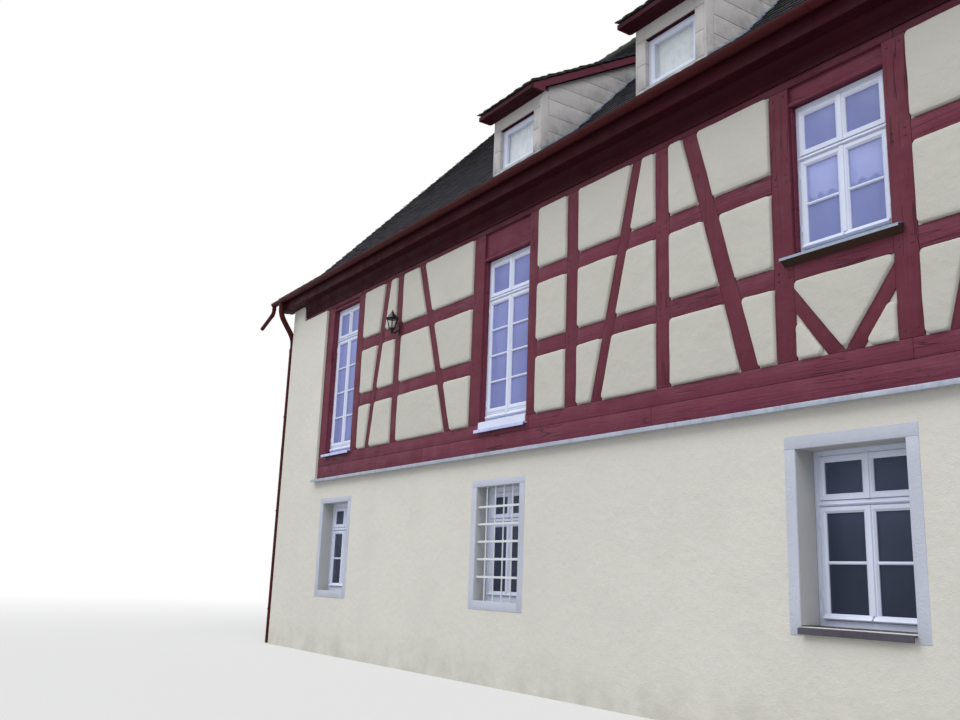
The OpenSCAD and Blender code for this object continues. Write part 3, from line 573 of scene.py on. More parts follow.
def lime_render(name, colour, grain=1.0):
    """Trowelled lime render with slow hollows, fine grain, soft streaks and a darker foot."""
    f = Finish(name, colour, 0.9, Specular_IOR_Level=0.2)
    f.tint(f.clouds(2.6, 3, low=0.3, high=0.7), shade(colour, 0.94), 0.8)
    f.tint(f.clouds(0.5, 4, stretch=(1, 1, 2.2), low=0.45, high=0.75), shade(colour, 0.88), 0.35)
    f.tint(f.clouds(0.035, 2, low=0.5, high=0.8), shade(colour, 0.86), 0.35)
    foot = f.both(f.between(f.axis("Z"), 0.0, 0.5, 1.0, 0.0), f.clouds(0.3, 5, low=0.35, high=0.7, shift=4))
    f.tint(foot, (0.36, 0.36, 0.30), 0.45)
    f.relief(f.clouds(0.7, 2, low=0.2, high=0.8), 0.012 * grain)
    f.relief(f.clouds(0.09, 3, low=0.2, high=0.8), 0.004 * grain)
    f.relief(f.clouds(0.012, 2, low=0.25, high=0.75), 0.0014 * grain)
    return f.done()


def cushion_plaster(name, colour):
    """Hand laid plaster: each field has its own tone, with soft hollows, fine grain and a grey bloom."""
    f = Finish(name, colour, 0.9, Specular_IOR_Level=0.2)
    f.tint(f.tone(), shade(colour, 0.95), 1.0)
    f.tint(f.clouds(0.45, 4, low=0.4, high=0.75), shade(colour, 0.91), 0.6)
    f.tint(f.clouds(0.03, 2, low=0.5, high=0.8), shade(colour, 0.88), 0.35)
    f.tint(f.clouds(0.012, 1, low=0.72, high=0.78, shift=2), shade(colour, 0.6), 0.4)
    f.relief(f.clouds(0.3, 2, low=0.2, high=0.8), 0.010)
    f.relief(f.clouds(0.06, 3, low=0.2, high=0.8), 0.003)
    f.relief(f.clouds(0.01, 2, low=0.25, high=0.75), 0.0010)
    return f.done()


def painted_timber(name, colour, stretch):
    """Old oil paint on hewn wood: grain drawn out along the timber, short dark cracks and a faded bloom."""
    f = Finish(name, colour, 0.6, Specular_IOR_Level=0.18)
    f.tint(f.tone(), shade(colour, 0.8), 0.7)
    faded = (colour[0] * 1.15, colour[1] * 1.5, colour[2] * 1.5)
    f.tint(f.clouds(0.35, 4, low=0.45, high=0.75), faded, 0.35)
    grain = f.clouds(0.02, 3, stretch, 0.3, 0.7)
    f.tint(grain, shade(colour, 0.7), 0.45)
    cracks = f.both(f.lines(0.09, 0.016, stretch, 2), f.clouds(0.5, 2, low=0.5, high=0.6, shift=3))
    f.tint(cracks, shade(colour, 0.22), 0.85)
    f.tint(f.clouds(0.06, 3, low=0.6, high=0.72, shift=7), shade(colour, 0.5), 0.45)
    f.gloss(f.clouds(0.3, 3), 0.5, 0.75)
    f.relief(grain, 0.0022)
    f.relief(f.clouds(0.16, 2, low=0.2, high=0.8), 0.006)
    f.relief(f.between(cracks, 0.0, 1.0, 1.0, 0.0), 0.004)
    return f.done()


def painted_board(name, colour, stretch, roughness=0.5):
    """Painted board with a faint grain and dull spots."""
    f = Finish(name, colour, roughness, Specular_IOR_Level=0.06)
    f.tint(f.clouds(0.6, 4, low=0.4, high=0.7), (colour[0] * 1.5, colour[1] * 1.1, colour[2] * 1.3), 0.4)
    f.tint(f.clouds(0.03, 3, stretch), shade(colour, 0.7), 0.35)
    f.gloss(f.clouds(0.25, 3), roughness - 0.08, roughness + 0.15)
    f.relief(f.clouds(0.03, 3, stretch, 0.3, 0.7), 0.001)
    return f.done()


def clay_tile(name, colour, moss):
    """Old clay tile, dark with soot, lighter where it weathers, with moss in patches."""
    f = Finish(name, colour, 0.85, Specular_IOR_Level=0.15)
    f.tint(f.between(f.tone(), 0.55, 1.0), (0.080, 0.062, 0.075), 0.75)
    f.tint(f.between(f.tone(), 0.35, 0.0), (0.022, 0.021, 0.026), 0.8)
    f.tint(f.clouds(0.05, 4, low=0.45, high=0.7), shade(colour, 1.8), 0.35)
    patches = f.both(f.clouds(0.8, 3, low=0.42, high=0.6), f.clouds(0.06, 3, low=0.4, high=0.55))
    f.tint(patches, (0.055, 0.07, 0.025), moss)
    f.relief(f.clouds(0.05, 3), 0.003)
    f.relief(f.clouds(0.012, 2), 0.0012)
    return f.done()


def sheet_metal(name, colour, roughness=0.45, metallic=0.6):
    """Weathered sheet: cloudy bloom, streaks and small dents."""
    f = Finish(name, colour, roughness, metallic)
    f.tint(f.clouds(0.4, 4, low=0.35, high=0.65), shade(colour, 1.45), 0.6)
    f.tint(f.clouds(0.06, 3, stretch=(1, 1, 3), low=0.5, high=0.75), shade(colour, 0.6), 0.5)
    f.gloss(f.clouds(0.15, 3), roughness - 0.1, roughness + 0.2)
    f.relief(f.clouds(0.25, 2, low=0.2, high=0.8), 0.003)
    return f.done()


def cut_stone(name, colour):
    """Fine sandstone: speckled grain, soft clouds and small pits."""
    f = Finish(name, colour, 0.85, Specular_IOR_Level=0.3)
    f.tint(f.clouds(0.5, 4), shade(colour, 0.86), 0.7)
    f.tint(f.clouds(0.008, 2, low=0.45, high=0.7), shade(colour, 0.75), 0.4)
    f.tint(f.tone(), shade(colour, 1.12), 0.5)
    f.relief(f.clouds(0.02, 3, low=0.3, high=0.7), 0.0015)
    f.relief(f.clouds(0.15, 2), 0.002)
    return f.done()


def cladding_slab(name, colour):
    """Fibre cement slab, pale, with dark weather stains that gather over the tiles of the roof."""
    f = Finish(name, colour, 0.8, Specular_IOR_Level=0.2)
    f.tint(f.tone(), shade(colour, 0.9), 0.8)
    eave, foot, ridge = (q - HALF_DEPTH for q in (EAVE_V, FLARE_V, HALF_DEPTH))
    flare = f.between(f.axis("Y"), eave, foot, EAVE_Z, FLARE_Z)
    roof = f.both(flare, f.between(f.axis("Y"), foot, ridge, 0.0, RIDGE_Z - FLARE_Z), "ADD")
    over = f.both(f.axis("Z"), roof, "SUBTRACT")
    low = f.between(over, 0.0, 0.45, 1.0, 0.0)
    f.tint(f.both(low, f.clouds(0.22, 5, low=0.35, high=0.68, rough=0.65)), (0.12, 0.13, 0.15), 0.7)
    f.tint(f.clouds(0.12, 5, stretch=(1, 1, 2), low=0.58, high=0.78, shift=5), (0.30, 0.30, 0.31), 0.4)
    f.tint(f.clouds(0.04, 3, low=0.55, high=0.75), shade(colour, 0.8), 0.5)
    f.relief(f.clouds(0.03, 3), 0.001)
    return f.done()


def window_paint(name, colour):
    """Gloss paint on joinery, a little dull in places."""
    f = Finish(name, colour, 0.35)
    f.tint(f.clouds(0.3, 4, low=0.45, high=0.7), shade(colour, 0.9), 0.5)
    f.gloss(f.clouds(0.1, 3), 0.28, 0.5)
    f.relief(f.clouds(0.02, 2, stretch=(1, 1, 6)), 0.0004)
    return f.done()


def pane_glass(name, colour, clear, fade=None):
    """Pane whose colour is a painted reflection of the sky over a dim room: a cool painted haze, and partly
    clear. Between the heights in fade the painted haze turns dark downwards, a painted reflection of the dark
    ground in the glass."""
    f = Finish(name, colour, 0.3, Specular_IOR_Level=0.25, Alpha=1 - clear)
    # Painted reflection of the dark ground: the haze darkens downwards between the heights in fade
    if fade:
        f.tint(f.between(f.axis("Z"), *fade, 1.0, 0.0), shade(colour, 0.45))
    # Painted reflection: darker clouds in the painted sky haze
    f.tint(f.clouds(0.9, 2, low=0.3, high=0.7), shade(colour, 0.75), 0.7)
    f.relief(f.clouds(0.6, 1, low=0.2, high=0.8), 0.0006)
    material = f.done()
    material.surface_render_method = "BLENDED"
    return material


def lace(name, colour, clear):
    """Net curtain: woven threads, with flowers where the net is closed."""
    f = Finish(name, colour, 0.9)
    flowers = f.clouds(0.09, 2, low=0.47, high=0.53)
    f.tint(flowers, shade(colour, 0.8), 0.6)
    threads = f.between(flowers, 0.0, 1.0, clear, 1.0)
    f.tree.links.new(threads, f.shader.inputs["Alpha"])
    f.relief(flowers, 0.001)
    return f.done()


def plain(name, colour, roughness=0.6, metallic=0.0):
    """Even finish with faint clouds in colour and gloss."""
    f = Finish(name, colour, roughness, metallic)
    f.tint(f.clouds(0.2, 4), shade(colour, 0.75), 0.5)
    f.gloss(f.clouds(0.08, 3), max(0.1, roughness - 0.1), roughness + 0.12)
    f.relief(f.clouds(0.02, 2), 0.0006)
    return f.done()


FINISHES = {}


def finish(name):
    """The finish of that name, made when it is first asked for."""
    if name not in FINISHES:
        colours = bpy.context.scene.house_colours
        wine, clay = tuple(colours.timber), tuple(colours.tile)
        level_wine = (wine[0] * 1.1, wine[1] * 1.15, wine[2] * 1.2)
        recipes = {
            "render": (lime_render, "render", tuple(colours.render)),
            # Infill: its colour holds painted shade from the eaves as well as the plaster's own tone
            "infill": (cushion_plaster, "infill", tuple(colours.infill)),
            "upright": (painted_timber, "timber_upright", wine, (1, 1, 18)),
            "level": (painted_timber, "timber_level", level_wine, (18, 18, 1)),
            # Trim: dark red paint, made darker still as painted shade under the eaves
            "trim": (painted_board, "painted_trim", tuple(colours.trim), (20, 20, 1)),
            "gutter": (painted_board, "painted_gutter", tuple(colours.gutter), (6, 6, 1), 0.36),
            "tile": (clay_tile, "clay_tiles", clay, 0.35),
            "mossy": (clay_tile, "mossy_tiles", clay, 0.9),
            "zinc": (sheet_metal, "zinc", tuple(colours.zinc)),
            "lead": (sheet_metal, "lead_sheet", (0.24, 0.28, 0.36), 0.5, 0.4),
            "sill": (sheet_metal, "sill_sheet", (0.42, 0.46, 0.72), 0.42, 0.25),
            "dark_sill": (sheet_metal, "dark_sill_sheet", (0.06, 0.055, 0.075), 0.45, 0.3),
            "sill_wood": (painted_board, "sill_board", (0.05, 0.028, 0.022), (20, 20, 1), 0.7),
            "stone": (cut_stone, "surround_stone", tuple(colours.stone)),
            "cladding": (cladding_slab, "dormer_slabs", tuple(colours.cladding)),
            "white": (window_paint, "window_paint", tuple(colours.joinery)),
            "iron": (window_paint, "grille_paint", (0.66, 0.68, 0.72)),
            # Reveals take a darker grey copy of the render: painted shade in the window recesses
            "reveal": (lime_render, "reveal_render", (0.42, 0.43, 0.44), 0.6),
            # Wall plate at 0.7 of the timbers' colour: painted shade from the eaves over it
            "plate": (painted_timber, "plate_timber", shade(wine, 0.7), (18, 18, 1)),
            # The panes' colours are painted reflections of the sky; the dim panes also get a painted
            # reflection of the dark ground towards their foot
            "glass": (pane_glass, "sky_glass", tuple(colours.glass), 0.25),
            "hazy_glass": (pane_glass, "hazy_glass", (0.44, 0.51, 1.0), 0.6),
            "dim_glass": (pane_glass, "dim_glass", (0.085, 0.105, 0.19), 0.4, (1.6, 2.2)),
            "clear_glass": (pane_glass, "clear_glass", (0.86, 0.93, 1.0), 0.85),
            "lace": (lace, "lace", (0.93, 0.96, 1.0), 0.8),
            "net": (lace, "plain_net", (0.93, 0.96, 1.0), 0.95),
            "black": (plain, "lantern_black", (0.015, 0.015, 0.018), 0.35, 0.6),
            "boards": (painted_board, "floor_boards", (0.3, 0.2, 0.12), (20, 1, 1), 0.7),
            "concrete": (plain, "floor_slab", (0.4, 0.39, 0.37), 0.85),
            "lamp": (pane_glass, "lantern_glass", (0.3, 0.3, 0.3), 0.85),
        }
        maker, *values = recipes[name]
        FINISHES[name] = maker(*values)
    return FINISHES[name]


# Pieces


def build_masonry():
    """Render on the walls that the frame gives, and the floors' finishes."""
    dress = {
        "render": (
            "ground_wall_front", "ground_wall_back", "gable_wall_left", "gable_wall_right", "corner_walls",
        ),
        "boards": ("upper_floor", "attic_floor", "roof_slope_front", "roof_slope_back"),
        "concrete": ("ground_floor_slab",),
        "trim": ("verge_boards",),
    }
    for name, nodes in dress.items():
        for node in nodes:
            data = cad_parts[node].data
            data.materials.clear()
            data.materials.append(finish(name))


def build_frame(place, side):
    """Posts, rails, braces and the pegs in their joints, for one long side."""
    posts, rails, braces, pegs = Heap(), Heap(), Heap(), []
    levels = [z + 0.06 for low, high in RAILS for z in (low, high - 0.12)] + [SILL + 0.07, PLATE - 0.07]
    for x0, x1 in POSTS:
        for a, b in ((x0, x1), (-x1, -x0)):
            post(posts, place, a, b, SILL, PLATE, seed=a)
            for z in levels:
                pegs += [(a + 0.05, z), (b - 0.05, z + 0.012)]
    for bay in BAYS:
        for z0, z1 in RAILS:
            for shape in both_halves(cells(bay, z0, z1)):
                lows = sorted(p for p in shape if abs(p[1] - z0) < 1e-6)
                highs = sorted(p for p in shape if abs(p[1] - z1) < 1e-6)
                timber(rails, place, lows[0], lows[-1], highs[-1], highs[0], seed=lows[0][0])
    beam(rails, place, *MIDDLE_BAY, PARAPET, MIDDLE_SILL, seed=1)
    for top_l, top_r, foot_l, foot_r in BRACES:
        for k in (1, -1):
            timber(
                braces, place, (k * foot_l, SILL), (k * top_l, PLATE), (k * top_r, PLATE), (k * foot_r, SILL),
                seed=k * top_l,
            )
            for z, share in ((SILL + 0.08, 0.03), (PLATE - 0.08, 0.97)):
                pegs.append((k * ((foot_l + foot_r) * (1 - share) + (top_l + top_r) * share) / 2, z))
    for k in (1, -1):
        timber(
            braces, place, (k * -STRUT_FOOT, SILL), (k * -MIDDLE_HALF, SILL + STRUT_LOW),
            (k * -MIDDLE_HALF, SILL + STRUT_TOP), (0, SILL + STRUT_MEET), seed=k,
        )
    slab(braces, place, [(-STRUT_FOOT, SILL), (STRUT_FOOT, SILL), (0.0, SILL + 0.02)], 0.001, 0.19, 0.004)
    spots = np.array(pegs)
    turn = np.linspace(0, 2 * np.pi, 6, endpoint=False)
    dome = np.array([(0.012, 0.01), (0.0115, -0.003), (0.007, -0.0055)])
    ring = np.stack(
        [dome[:, :1] * np.cos(turn), dome[:, 1:] + 0 * turn, dome[:, :1] * np.sin(turn)], -1
    ).reshape(-1, 3)
    at = np.stack([spots[:, 0], 0 * spots[:, 0], spots[:, 1]], -1)
    posts.copies(place(at[:, None] + ring), stack_faces(3, 6), 0.9)
    piece("timber_posts_" + side, posts, finish("upright"), ["posts_" + side])
    piece("timber_rails_" + side, rails, finish("level"), ["rails_" + side])
    piece("timber_braces_" + side, braces, finish("upright"), ["braces_" + side])


def build_sills():
    """Two sill beams over one another in lengths with butt joints, and the wall plate, on both sides."""
    lower, upper, plates = Heap(), Heap(), Heap()
    for place in (front, back):
        for heap, cuts, z0, z1 in (
            (lower, (-FRAME_END, -6.9, -2.3, 2.9, 7.2, FRAME_END), GROUND, SILL_JOINT),
            (upper, (-FRAME_END, -8.2, -4.4, 0.6, 5.3, FRAME_END), SILL_JOINT, SILL),
            (plates, (-GABLE_IN, -9.1, -4.4, 0.6, 4.6, 9.0, GABLE_IN), PLATE, PLATE_TOP),
        ):
            for x0, x1 in zip(cuts, cuts[1:]):
                beam(heap, place, x0, x1, z0, z1, arris=0.009, step=0.3)
    piece("lower_sill_timbers", lower, finish("level"), ["lower_sill_beams"])
    piece("upper_sill_timbers", upper, finish("level"), ["upper_sill_beams"])
    # The wall plates take the darker plate finish, painted shade under the eaves
    piece("wall_plate_timbers", plates, finish("plate"), ["wall_plates"])


def build_cushions(place, side):
    """Plaster fields: filling between the timbers and a cushion whose outline steps inwards while its
    face rises along a quarter circle, then crowns slowly towards the middle."""
    heap = Heap()
    fields = both_halves([s for bay in BAYS for z0, z1 in ROWS for s in cells(bay, z0, z1)])
    fields.append([
        (-MIDDLE_HALF, SILL + STRUT_TOP), (0.0, SILL + STRUT_MEET), (MIDDLE_HALF, SILL + STRUT_TOP),
        (MIDDLE_HALF, PARAPET), (-MIDDLE_HALF, PARAPET),
    ])
    fields += both_halves([[(-MIDDLE_HALF, SILL), (-STRUT_FOOT, SILL), (-MIDDLE_HALF, SILL + STRUT_LOW)]])
    roll = chosen("cushion_edge")
    steps = [(-0.006, 0.195, 0.002), (-0.006, 0.014, 0.002), (0.004, 0.014, 0.048), (0.006, -0.006, 0.050)]
    for angle in np.radians([0, 25, 50, 78]):
        steps.append((0.008 + roll * (1 - math.cos(angle)), -0.010 - roll * math.sin(angle), 0.050))
    for corners in fields:
        counts = outline(corners, 0, 0.002)[1]
        rings = []
        for inset, v, radius in steps:
            flat = outline(corners, inset, max(0.004, radius - max(0, inset)), counts)[0]
            rings.append(np.stack([flat[:, 0], np.full(len(flat), v), flat[:, 1]], -1))
        edge = rings[-1]
        middle = edge.mean(0)
        for share, rise in ((0.12, 0.0015), (0.35, 0.003), (0.7, 0.004)):
            inner = edge + (middle - edge) * share
            inner[:, 1] -= rise
            rings.append(inner)
        rings = np.array(rings)
        p = hewn(rings[..., 0], rings[..., 1], rings[..., 2], 0.0032)
        p[2:, :, 0] += 0.0025 * wave(rings[2:, :, 2] * 4, rings[2:, :, 0] * 4, 1)
        p[2:, :, 2] += 0.0025 * wave(rings[2:, :, 0] * 4, rings[2:, :, 2] * 4, 2)
        stack(heap, place(p), 0.5 + 0.5 * math.sin(11 * corners[0][0] + 7 * corners[0][1]), tip=True)
    piece("plaster_cushions_" + side, heap, finish("infill"), ["infill_panels_" + side], sharp=70)


def tile_rows(heap, place, rows, x0, x1, seed, skip=None):
    """Beaver tail tiles in rows, every second row shifted by half a tile. rows holds for each row its lower
    edge (v, z), the slope's angle and the room up to the ridge. The tile's outline is straight at the
    sides and a shallow arc at its lower edge; it lies with its lower edge 3 cm over the bed."""
    rng = np.random.default_rng(seed)
    width, length, thick = chosen("tile_width"), 0.3, 0.014
    half = width / 2 - 0.002
    arc = np.array([(-1, 0.034), (-0.55, 0.009), (0, 0), (0.55, 0.009), (1, 0.034)])
    across = np.concatenate([[-half], arc[:, 0] * half, [half]])
    for k, (v, z, angle, room) in enumerate(rows):
        n = int(round((x1 - x0) / width))
        x = x0 + (np.arange(n + k % 2) + (0.0 if k % 2 else 0.5)) * (x1 - x0) / n
        if skip is not None:
            x = x[~skip(x, v)]
        m = len(x)
        if not m:
            continue
        reach = min(length, room)
        up = np.concatenate([[reach], arc[:, 1], [reach]])
        lift = 0.031 + rng.normal(0, 0.0016, (m, 1))
        h = lift * np.maximum(0.05, 1 - up / length) + 0.002
        a = across + rng.normal(0, 0.0012, (m, 1)) + rng.normal(0, 0.004, (m, 1)) * (up - 0.1)
        a = np.clip(x[:, None] + a, x0 - 0.004, x1 + 0.004)
        b = up + rng.normal(0, 0.0025, (m, 1))
        layers = []
        for rise in (0.0, thick):
            over = h + rise
            depth = v + b * math.cos(angle) - over * math.sin(angle)
            height = z + b * math.sin(angle) + over * math.cos(angle)
            layers.append(np.stack([a, depth, height], -1))
        points = np.concatenate(layers, 1)
        tone = np.clip(0.5 + rng.normal(0, 0.23, m), 0, 1)
        heap.copies(place(points), stack_faces(2, 7), tone)


def main_rows():
    """Rows of the main roof on the deck: seven on the flare and forty one on the main slope."""
    flare = math.atan2(FLARE_Z - EAVE_Z, FLARE_V - EAVE_V)
    main = math.atan2(RIDGE_Z - FLARE_Z, HALF_DEPTH - FLARE_V)
    rows = [(EAVE_V, float(roof_z(EAVE_V)) - DECK_DROP - 0.012, flare, 0.3)]
    for i in range(7):
        v = EAVE_V + (FLARE_V - EAVE_V) * i / 7
        rows.append((v, float(roof_z(v)) - DECK_DROP, flare, 9))
    for i in range(41):
        v = FLARE_V + (HALF_DEPTH - FLARE_V) * i / 41
        rows.append((v, float(roof_z(v)) - DECK_DROP, main, (HALF_DEPTH - v) / math.cos(main)))
    return rows


def in_dormer(x, v):
    """Whether a tile with its lower edge at depth v would stand inside a dormer."""
    near = np.min(np.abs(x[:, None] - np.array(DORMERS)), 1)
    return (near < DORMER_HALF) & (v > -0.03) & (v < CHEEK_END + 0.04)


def build_roof():
    """Both slopes of beaver tail tiles, the mortar at the verges and the ridge tiles."""
    end = ROOF_END + 0.045
    for place, side, skip, seed in ((front, "front", in_dormer, 3), (back, "back", None, 8)):
        heap = Heap()
        tile_rows(heap, place, main_rows(), -end, end, seed, skip)
        for x0, x1 in ((-ROOF_END - 0.038, -ROOF_END + 0.02), (ROOF_END - 0.02, ROOF_END + 0.038)):
            v = np.array([EAVE_V + 0.02, FLARE_V, HALF_DEPTH])
            z = roof_z(v) - DECK_DROP
            profile = [*zip(v, z), *zip(v[::-1], z[::-1] + 0.03)]
            run(heap, place, x0, x1, profile, tone=0.95)
        piece("beaver_tail_tiles_" + side, heap, finish("tile"), ["roof_tiles_" + side], sharp=30)
    heap = Heap()
    rng = np.random.default_rng(5)
    angle = np.radians(np.linspace(-28, 208, 12))
    count = 66
    pitch = 2 * end / count
    for i in range(count):
        x0 = -end + i * pitch
        lift = rng.normal(0, 0.0025)
        x = np.array([x0, x0, x0 + 0.05, x0 + 0.065, x0 + pitch, x0 + pitch])
        r = np.array([0.114, 0.123, 0.123, 0.116, 0.109, 0.098])
        rings = np.stack(
            [
                x[:, None] + 0 * angle,
                HALF_DEPTH + r[:, None] * np.cos(angle),
                RIDGE_Z - 0.08 + lift + r[:, None] * np.sin(angle),
            ],
            -1,
        )
        stack(heap, front(rings), np.clip(0.5 + rng.normal(0, 0.25), 0, 1))
    piece("ridge_tiles", heap, finish("mossy"), ["ridge_cap"], sharp=40)


def build_eaves():
    """Moulding, soffit and fascia boards, in lengths that meet with fine joints."""
    moulding, soffit = Heap(), Heap()
    bow = np.radians(90 - np.arange(0, 91, 11.25))
    cove = np.stack([-0.09 + 0.06 * np.cos(bow), SOFFIT - 0.09 + 0.09 * np.sin(bow)], -1)[::-1]
    foot = 5.845
    backing = [(0.0, SOFFIT + 0.012), (0.0, SOFFIT + 0.02), (-0.2, SOFFIT + 0.02), (-0.2, SOFFIT + 0.012)]
    fascia = [
        (-0.2, SOFFIT), (-0.2, 6.344), (-0.225, 6.324), (-0.225, SOFFIT + 0.03), (-0.2235, SOFFIT + 0.02),
        (-0.2235, SOFFIT + 0.005), (-0.219, SOFFIT),
    ]
    profile = [
        (0.0, foot), (-0.014, foot), (-0.018, foot + 0.004), (-0.018, foot + 0.046), (-0.024, foot + 0.050),
        (-0.024, foot + 0.088), (-0.030, foot + 0.092), (-0.030, foot + 0.121), *cove[:-1], (-0.09, SOFFIT),
        (0.0, SOFFIT),
    ]
    for place in (front, back):
        cuts = np.linspace(-GABLE_IN, GABLE_IN, 6)
        for x0, x1 in zip(cuts, cuts[1:]):
            run(moulding, place, x0 + 0.001, x1 - 0.001, profile, 0.6, 0.002, x0 % 1)
        cuts = np.linspace(-ROOF_END, ROOF_END, 7)
        for x0, x1 in zip(cuts, cuts[1:]):
            for k in range(3):
                v1 = -0.004 - k * 0.066
                v0 = v1 - 0.062
                board = [
                    (v1, SOFFIT + 0.018), (v1, SOFFIT + 0.004), (v1 - 0.004, SOFFIT), (v0 + 0.004, SOFFIT),
                    (v0, SOFFIT + 0.004), (v0, SOFFIT + 0.018),
                ]
                run(soffit, place, x0 + 0.001, x1 - 0.001, board, tone=(k * 0.37 + x0) % 1)
            run(soffit, place, x0, x1, backing)
            run(soffit, place, x0 + 0.0015, x1 - 0.0015, fascia, tone=(x0 * 3.1) % 1)
    piece("eaves_moulding", moulding, finish("trim"), ["eaves_mouldings"], sharp=30)
    piece("soffit_boards", soffit, finish("trim"), ["eaves_soffits"])


def build_gutters():
    """Half round gutters with a rolled bead, hooks and spouts, and the downpipes with swept bends."""
    gutters, pipes = Heap(), Heap()
    cv, cz, r = -0.29, 6.2662, 0.061
    end = ROOF_END + 0.27
    angle = np.radians(np.linspace(180, 360, 15))

    def arc(radius):
        """Half circle of that radius round the gutter's middle, from its outer edge round below."""
        return np.stack([cv + radius * np.cos(angle), cz + radius * np.sin(angle)], -1)

    outer, inner = arc(r), arc(r - 0.003)[::-1]
    high = [(cv + r, cz + 0.03), (cv + r - 0.003, cz + 0.03)]
    bead_turn = np.radians(np.linspace(0, 300, 8))
    bead = np.stack([cv - r + 0.009 + 0.008 * np.cos(bead_turn), cz + 0.004 + 0.008 * np.sin(bead_turn)], -1)
    collar = [*arc(r + 0.004), *inner]
    disc = [*outer[1:-1], (cv + r - 0.002, cz - 0.001), (cv - r + 0.002, cz - 0.001)]
    hook = [*arc(r + 0.003), *outer[::-1]]
    stem = [
        (cv + r - 0.001, cz - 0.002), (cv + r + 0.003, cz - 0.002), (cv + r + 0.003, cz + 0.05),
        (cv + r - 0.001, cz + 0.05),
    ]
    band = [(0.0585, 0.0), (0.064, 0.002), (0.0655, 0.006), (0.0655, 0.024), (0.064, 0.028), (0.0585, 0.03)]
    sleeve = [(0.0575, 0.0), (0.061, 0.004), (0.061, 0.07), (0.0575, 0.075)]
    for place in (front, back):
        cuts = np.linspace(-end, end, 9)
        for i, (x0, x1) in enumerate(zip(cuts, cuts[1:])):
            run(gutters, place, x0, x1, [*outer, *high, *inner], 1.1, 0.0, i * 0.37 % 1)
            run(gutters, place, x0, x1, bead, 1.1, 0.0, i * 0.37 % 1)
            if i:
                run(gutters, place, x0 - 0.02, x0 + 0.02, collar, tone=0.8)
        for x in (-end + 0.0025, end - 0.0025):
            run(gutters, place, x - 0.0025, x + 0.0025, disc)
        for x in np.arange(-11.7, 11.8, 0.78):
            for profile in (hook, stem):
                run(gutters, place, x - 0.0125, x + 0.0125, profile, tone=0.1)
        for k in (-1, 1):
            x = k * (end - 0.0325)
            path = swept([(x, cv, cz - 0.04), (x, cv, 6.084), (x + k * 0.56, cv, 5.885)], 0.085)
            tube(gutters, place(path), 0.038, 16)
            for centre, along in ((path[1], (0, 0, -1)), (path[-2], path[-1] - path[-2])):
                tube(gutters, place(ring_path(centre, along)), 0.042, 16)
            x = k * PIPE_X
            neck = swept([(x, cv, 6.201), (x, cv, 5.981), (x, 0.0, 5.551), (x, 0.0, 5.2)], 0.13)
            tube(pipes, place(neck), 0.05, 20)
            tube(pipes, place(np.array([(x, 0.0, z) for z in (5.30, 5.2, 4.0, 2.6, 1.2, 0.012)])), 0.058, 20)
            for share in (0.1, 0.4, 0.7):
                z = PLATE * share
                turned(pipes, place(np.array([x, 0.0, z])), band, 20)
                lug = [(-0.012, z + 0.003), (0.012, z + 0.003), (0.012, z + 0.027), (-0.012, z + 0.027)]
                run(pipes, place, min(k * BODY_END, x), max(k * BODY_END, x), lug)
            for z in (3.4, 5.28):
                turned(pipes, place(np.array([x, 0.0, z])), sleeve, 20)
    piece("half_round_gutters", gutters, finish("gutter"), ["gutters"], sharp=40)
    piece("rain_pipes", pipes, finish("gutter"), ["downpipes"], sharp=40)


def build_flashing():
    """Zinc flashing on the masonry's ledge: sloping sheet, rounded nose and drip edge, lapped every two
    metres and nailed."""
    heap, nails = Heap(), []
    base = np.array([
        (0.0, GROUND - 0.001), (0.0, 2.79), (-0.112, 2.7752), (-0.1165, 2.772), (-0.118, 2.767),
        (-0.118, 2.731), (-0.1155, 2.727), (-0.110, 2.728), (-0.109, 2.732), (-0.109, 2.7655),
    ])
    cuts = np.linspace(-FRAME_END, FRAME_END, 11)
    for place in (front, back):
        for i, (x0, x1) in enumerate(zip(cuts, cuts[1:])):
            run(heap, place, x0, x1, base, 0.35, 0.0015, i * 0.41 % 1)
            if i:
                lap = base + np.array([-0.0016, 0.0012])
                lap[0] = base[0]
                run(heap, place, x0 - 0.03, x0 + 0.01, lap, tone=0.2)
        x = np.arange(-FRAME_END + 0.15, FRAME_END, 0.32)
        turn = np.linspace(0, 2 * np.pi, 6, endpoint=False)
        ring = np.stack([0.006 * np.cos(turn), 0.006 * np.sin(turn), 0 * turn], -1)
        head = np.concatenate([ring + [0, 0, -0.002], ring * [0.8, 0.8, 1] + [0, 0, 0.003]])
        at = np.stack([x, -0.03 + 0 * x, 2.786 + 0 * x], -1)
        nails.append(place(at[:, None] + head))
    for points in nails:
        heap.copies(points, stack_faces(2, 6), 0.0)
    piece("zinc_flashing", heap, finish("zinc"), ["flashings"], sharp=30)


def window_band(bands, reveals, place, x, width, z0, z1, out_z0, out_z1, foot=None):
    """Flush stone band round an opening and the rendered reveal behind it: jambs, lintel and, where out_z0
    is lower than z0, the band under the opening. The band's jambs start at foot where that is given."""
    half, w, face, deep = width / 2, BAND, -0.044, 0.2
    stone = {"v0": face, "v1": face + 0.012, "arris": 0.004, "size": 0.0015}
    for k in (-1, 1):
        a, b = sorted((x + k * half, x + k * (half + w)))
        box(reveals, place, a, b, face + 0.011, deep, z0 + 0.001, z1 - 0.001, 0.002)
    box(reveals, place, x - half - w, x + half + w, face + 0.011, deep, z1, out_z1, 0.002)
    if out_z0 < z0:
        box(reveals, place, x - half - w, x + half + w, face + 0.011, deep, out_z0, z0, 0.002)
    low = max(out_z0, z0 - w) if foot is None else foot
    for k in (-1, 1):
        a, b = sorted((x + k * half, x + k * (half + w)))
        post(bands, place, a, b, low, z1, **stone)
    beam(bands, place, x - half - w, x + half + w, z1, out_z1, **stone)
    if out_z0 < z0:
        beam(bands, place, x - half, x + half, out_z0, z0, **stone)


def gable_sites():
    """Facade, place and foot of each gable window."""
    for place in (left, right):
        for y, z in GABLE_WINDOWS:
            yield place, y, z


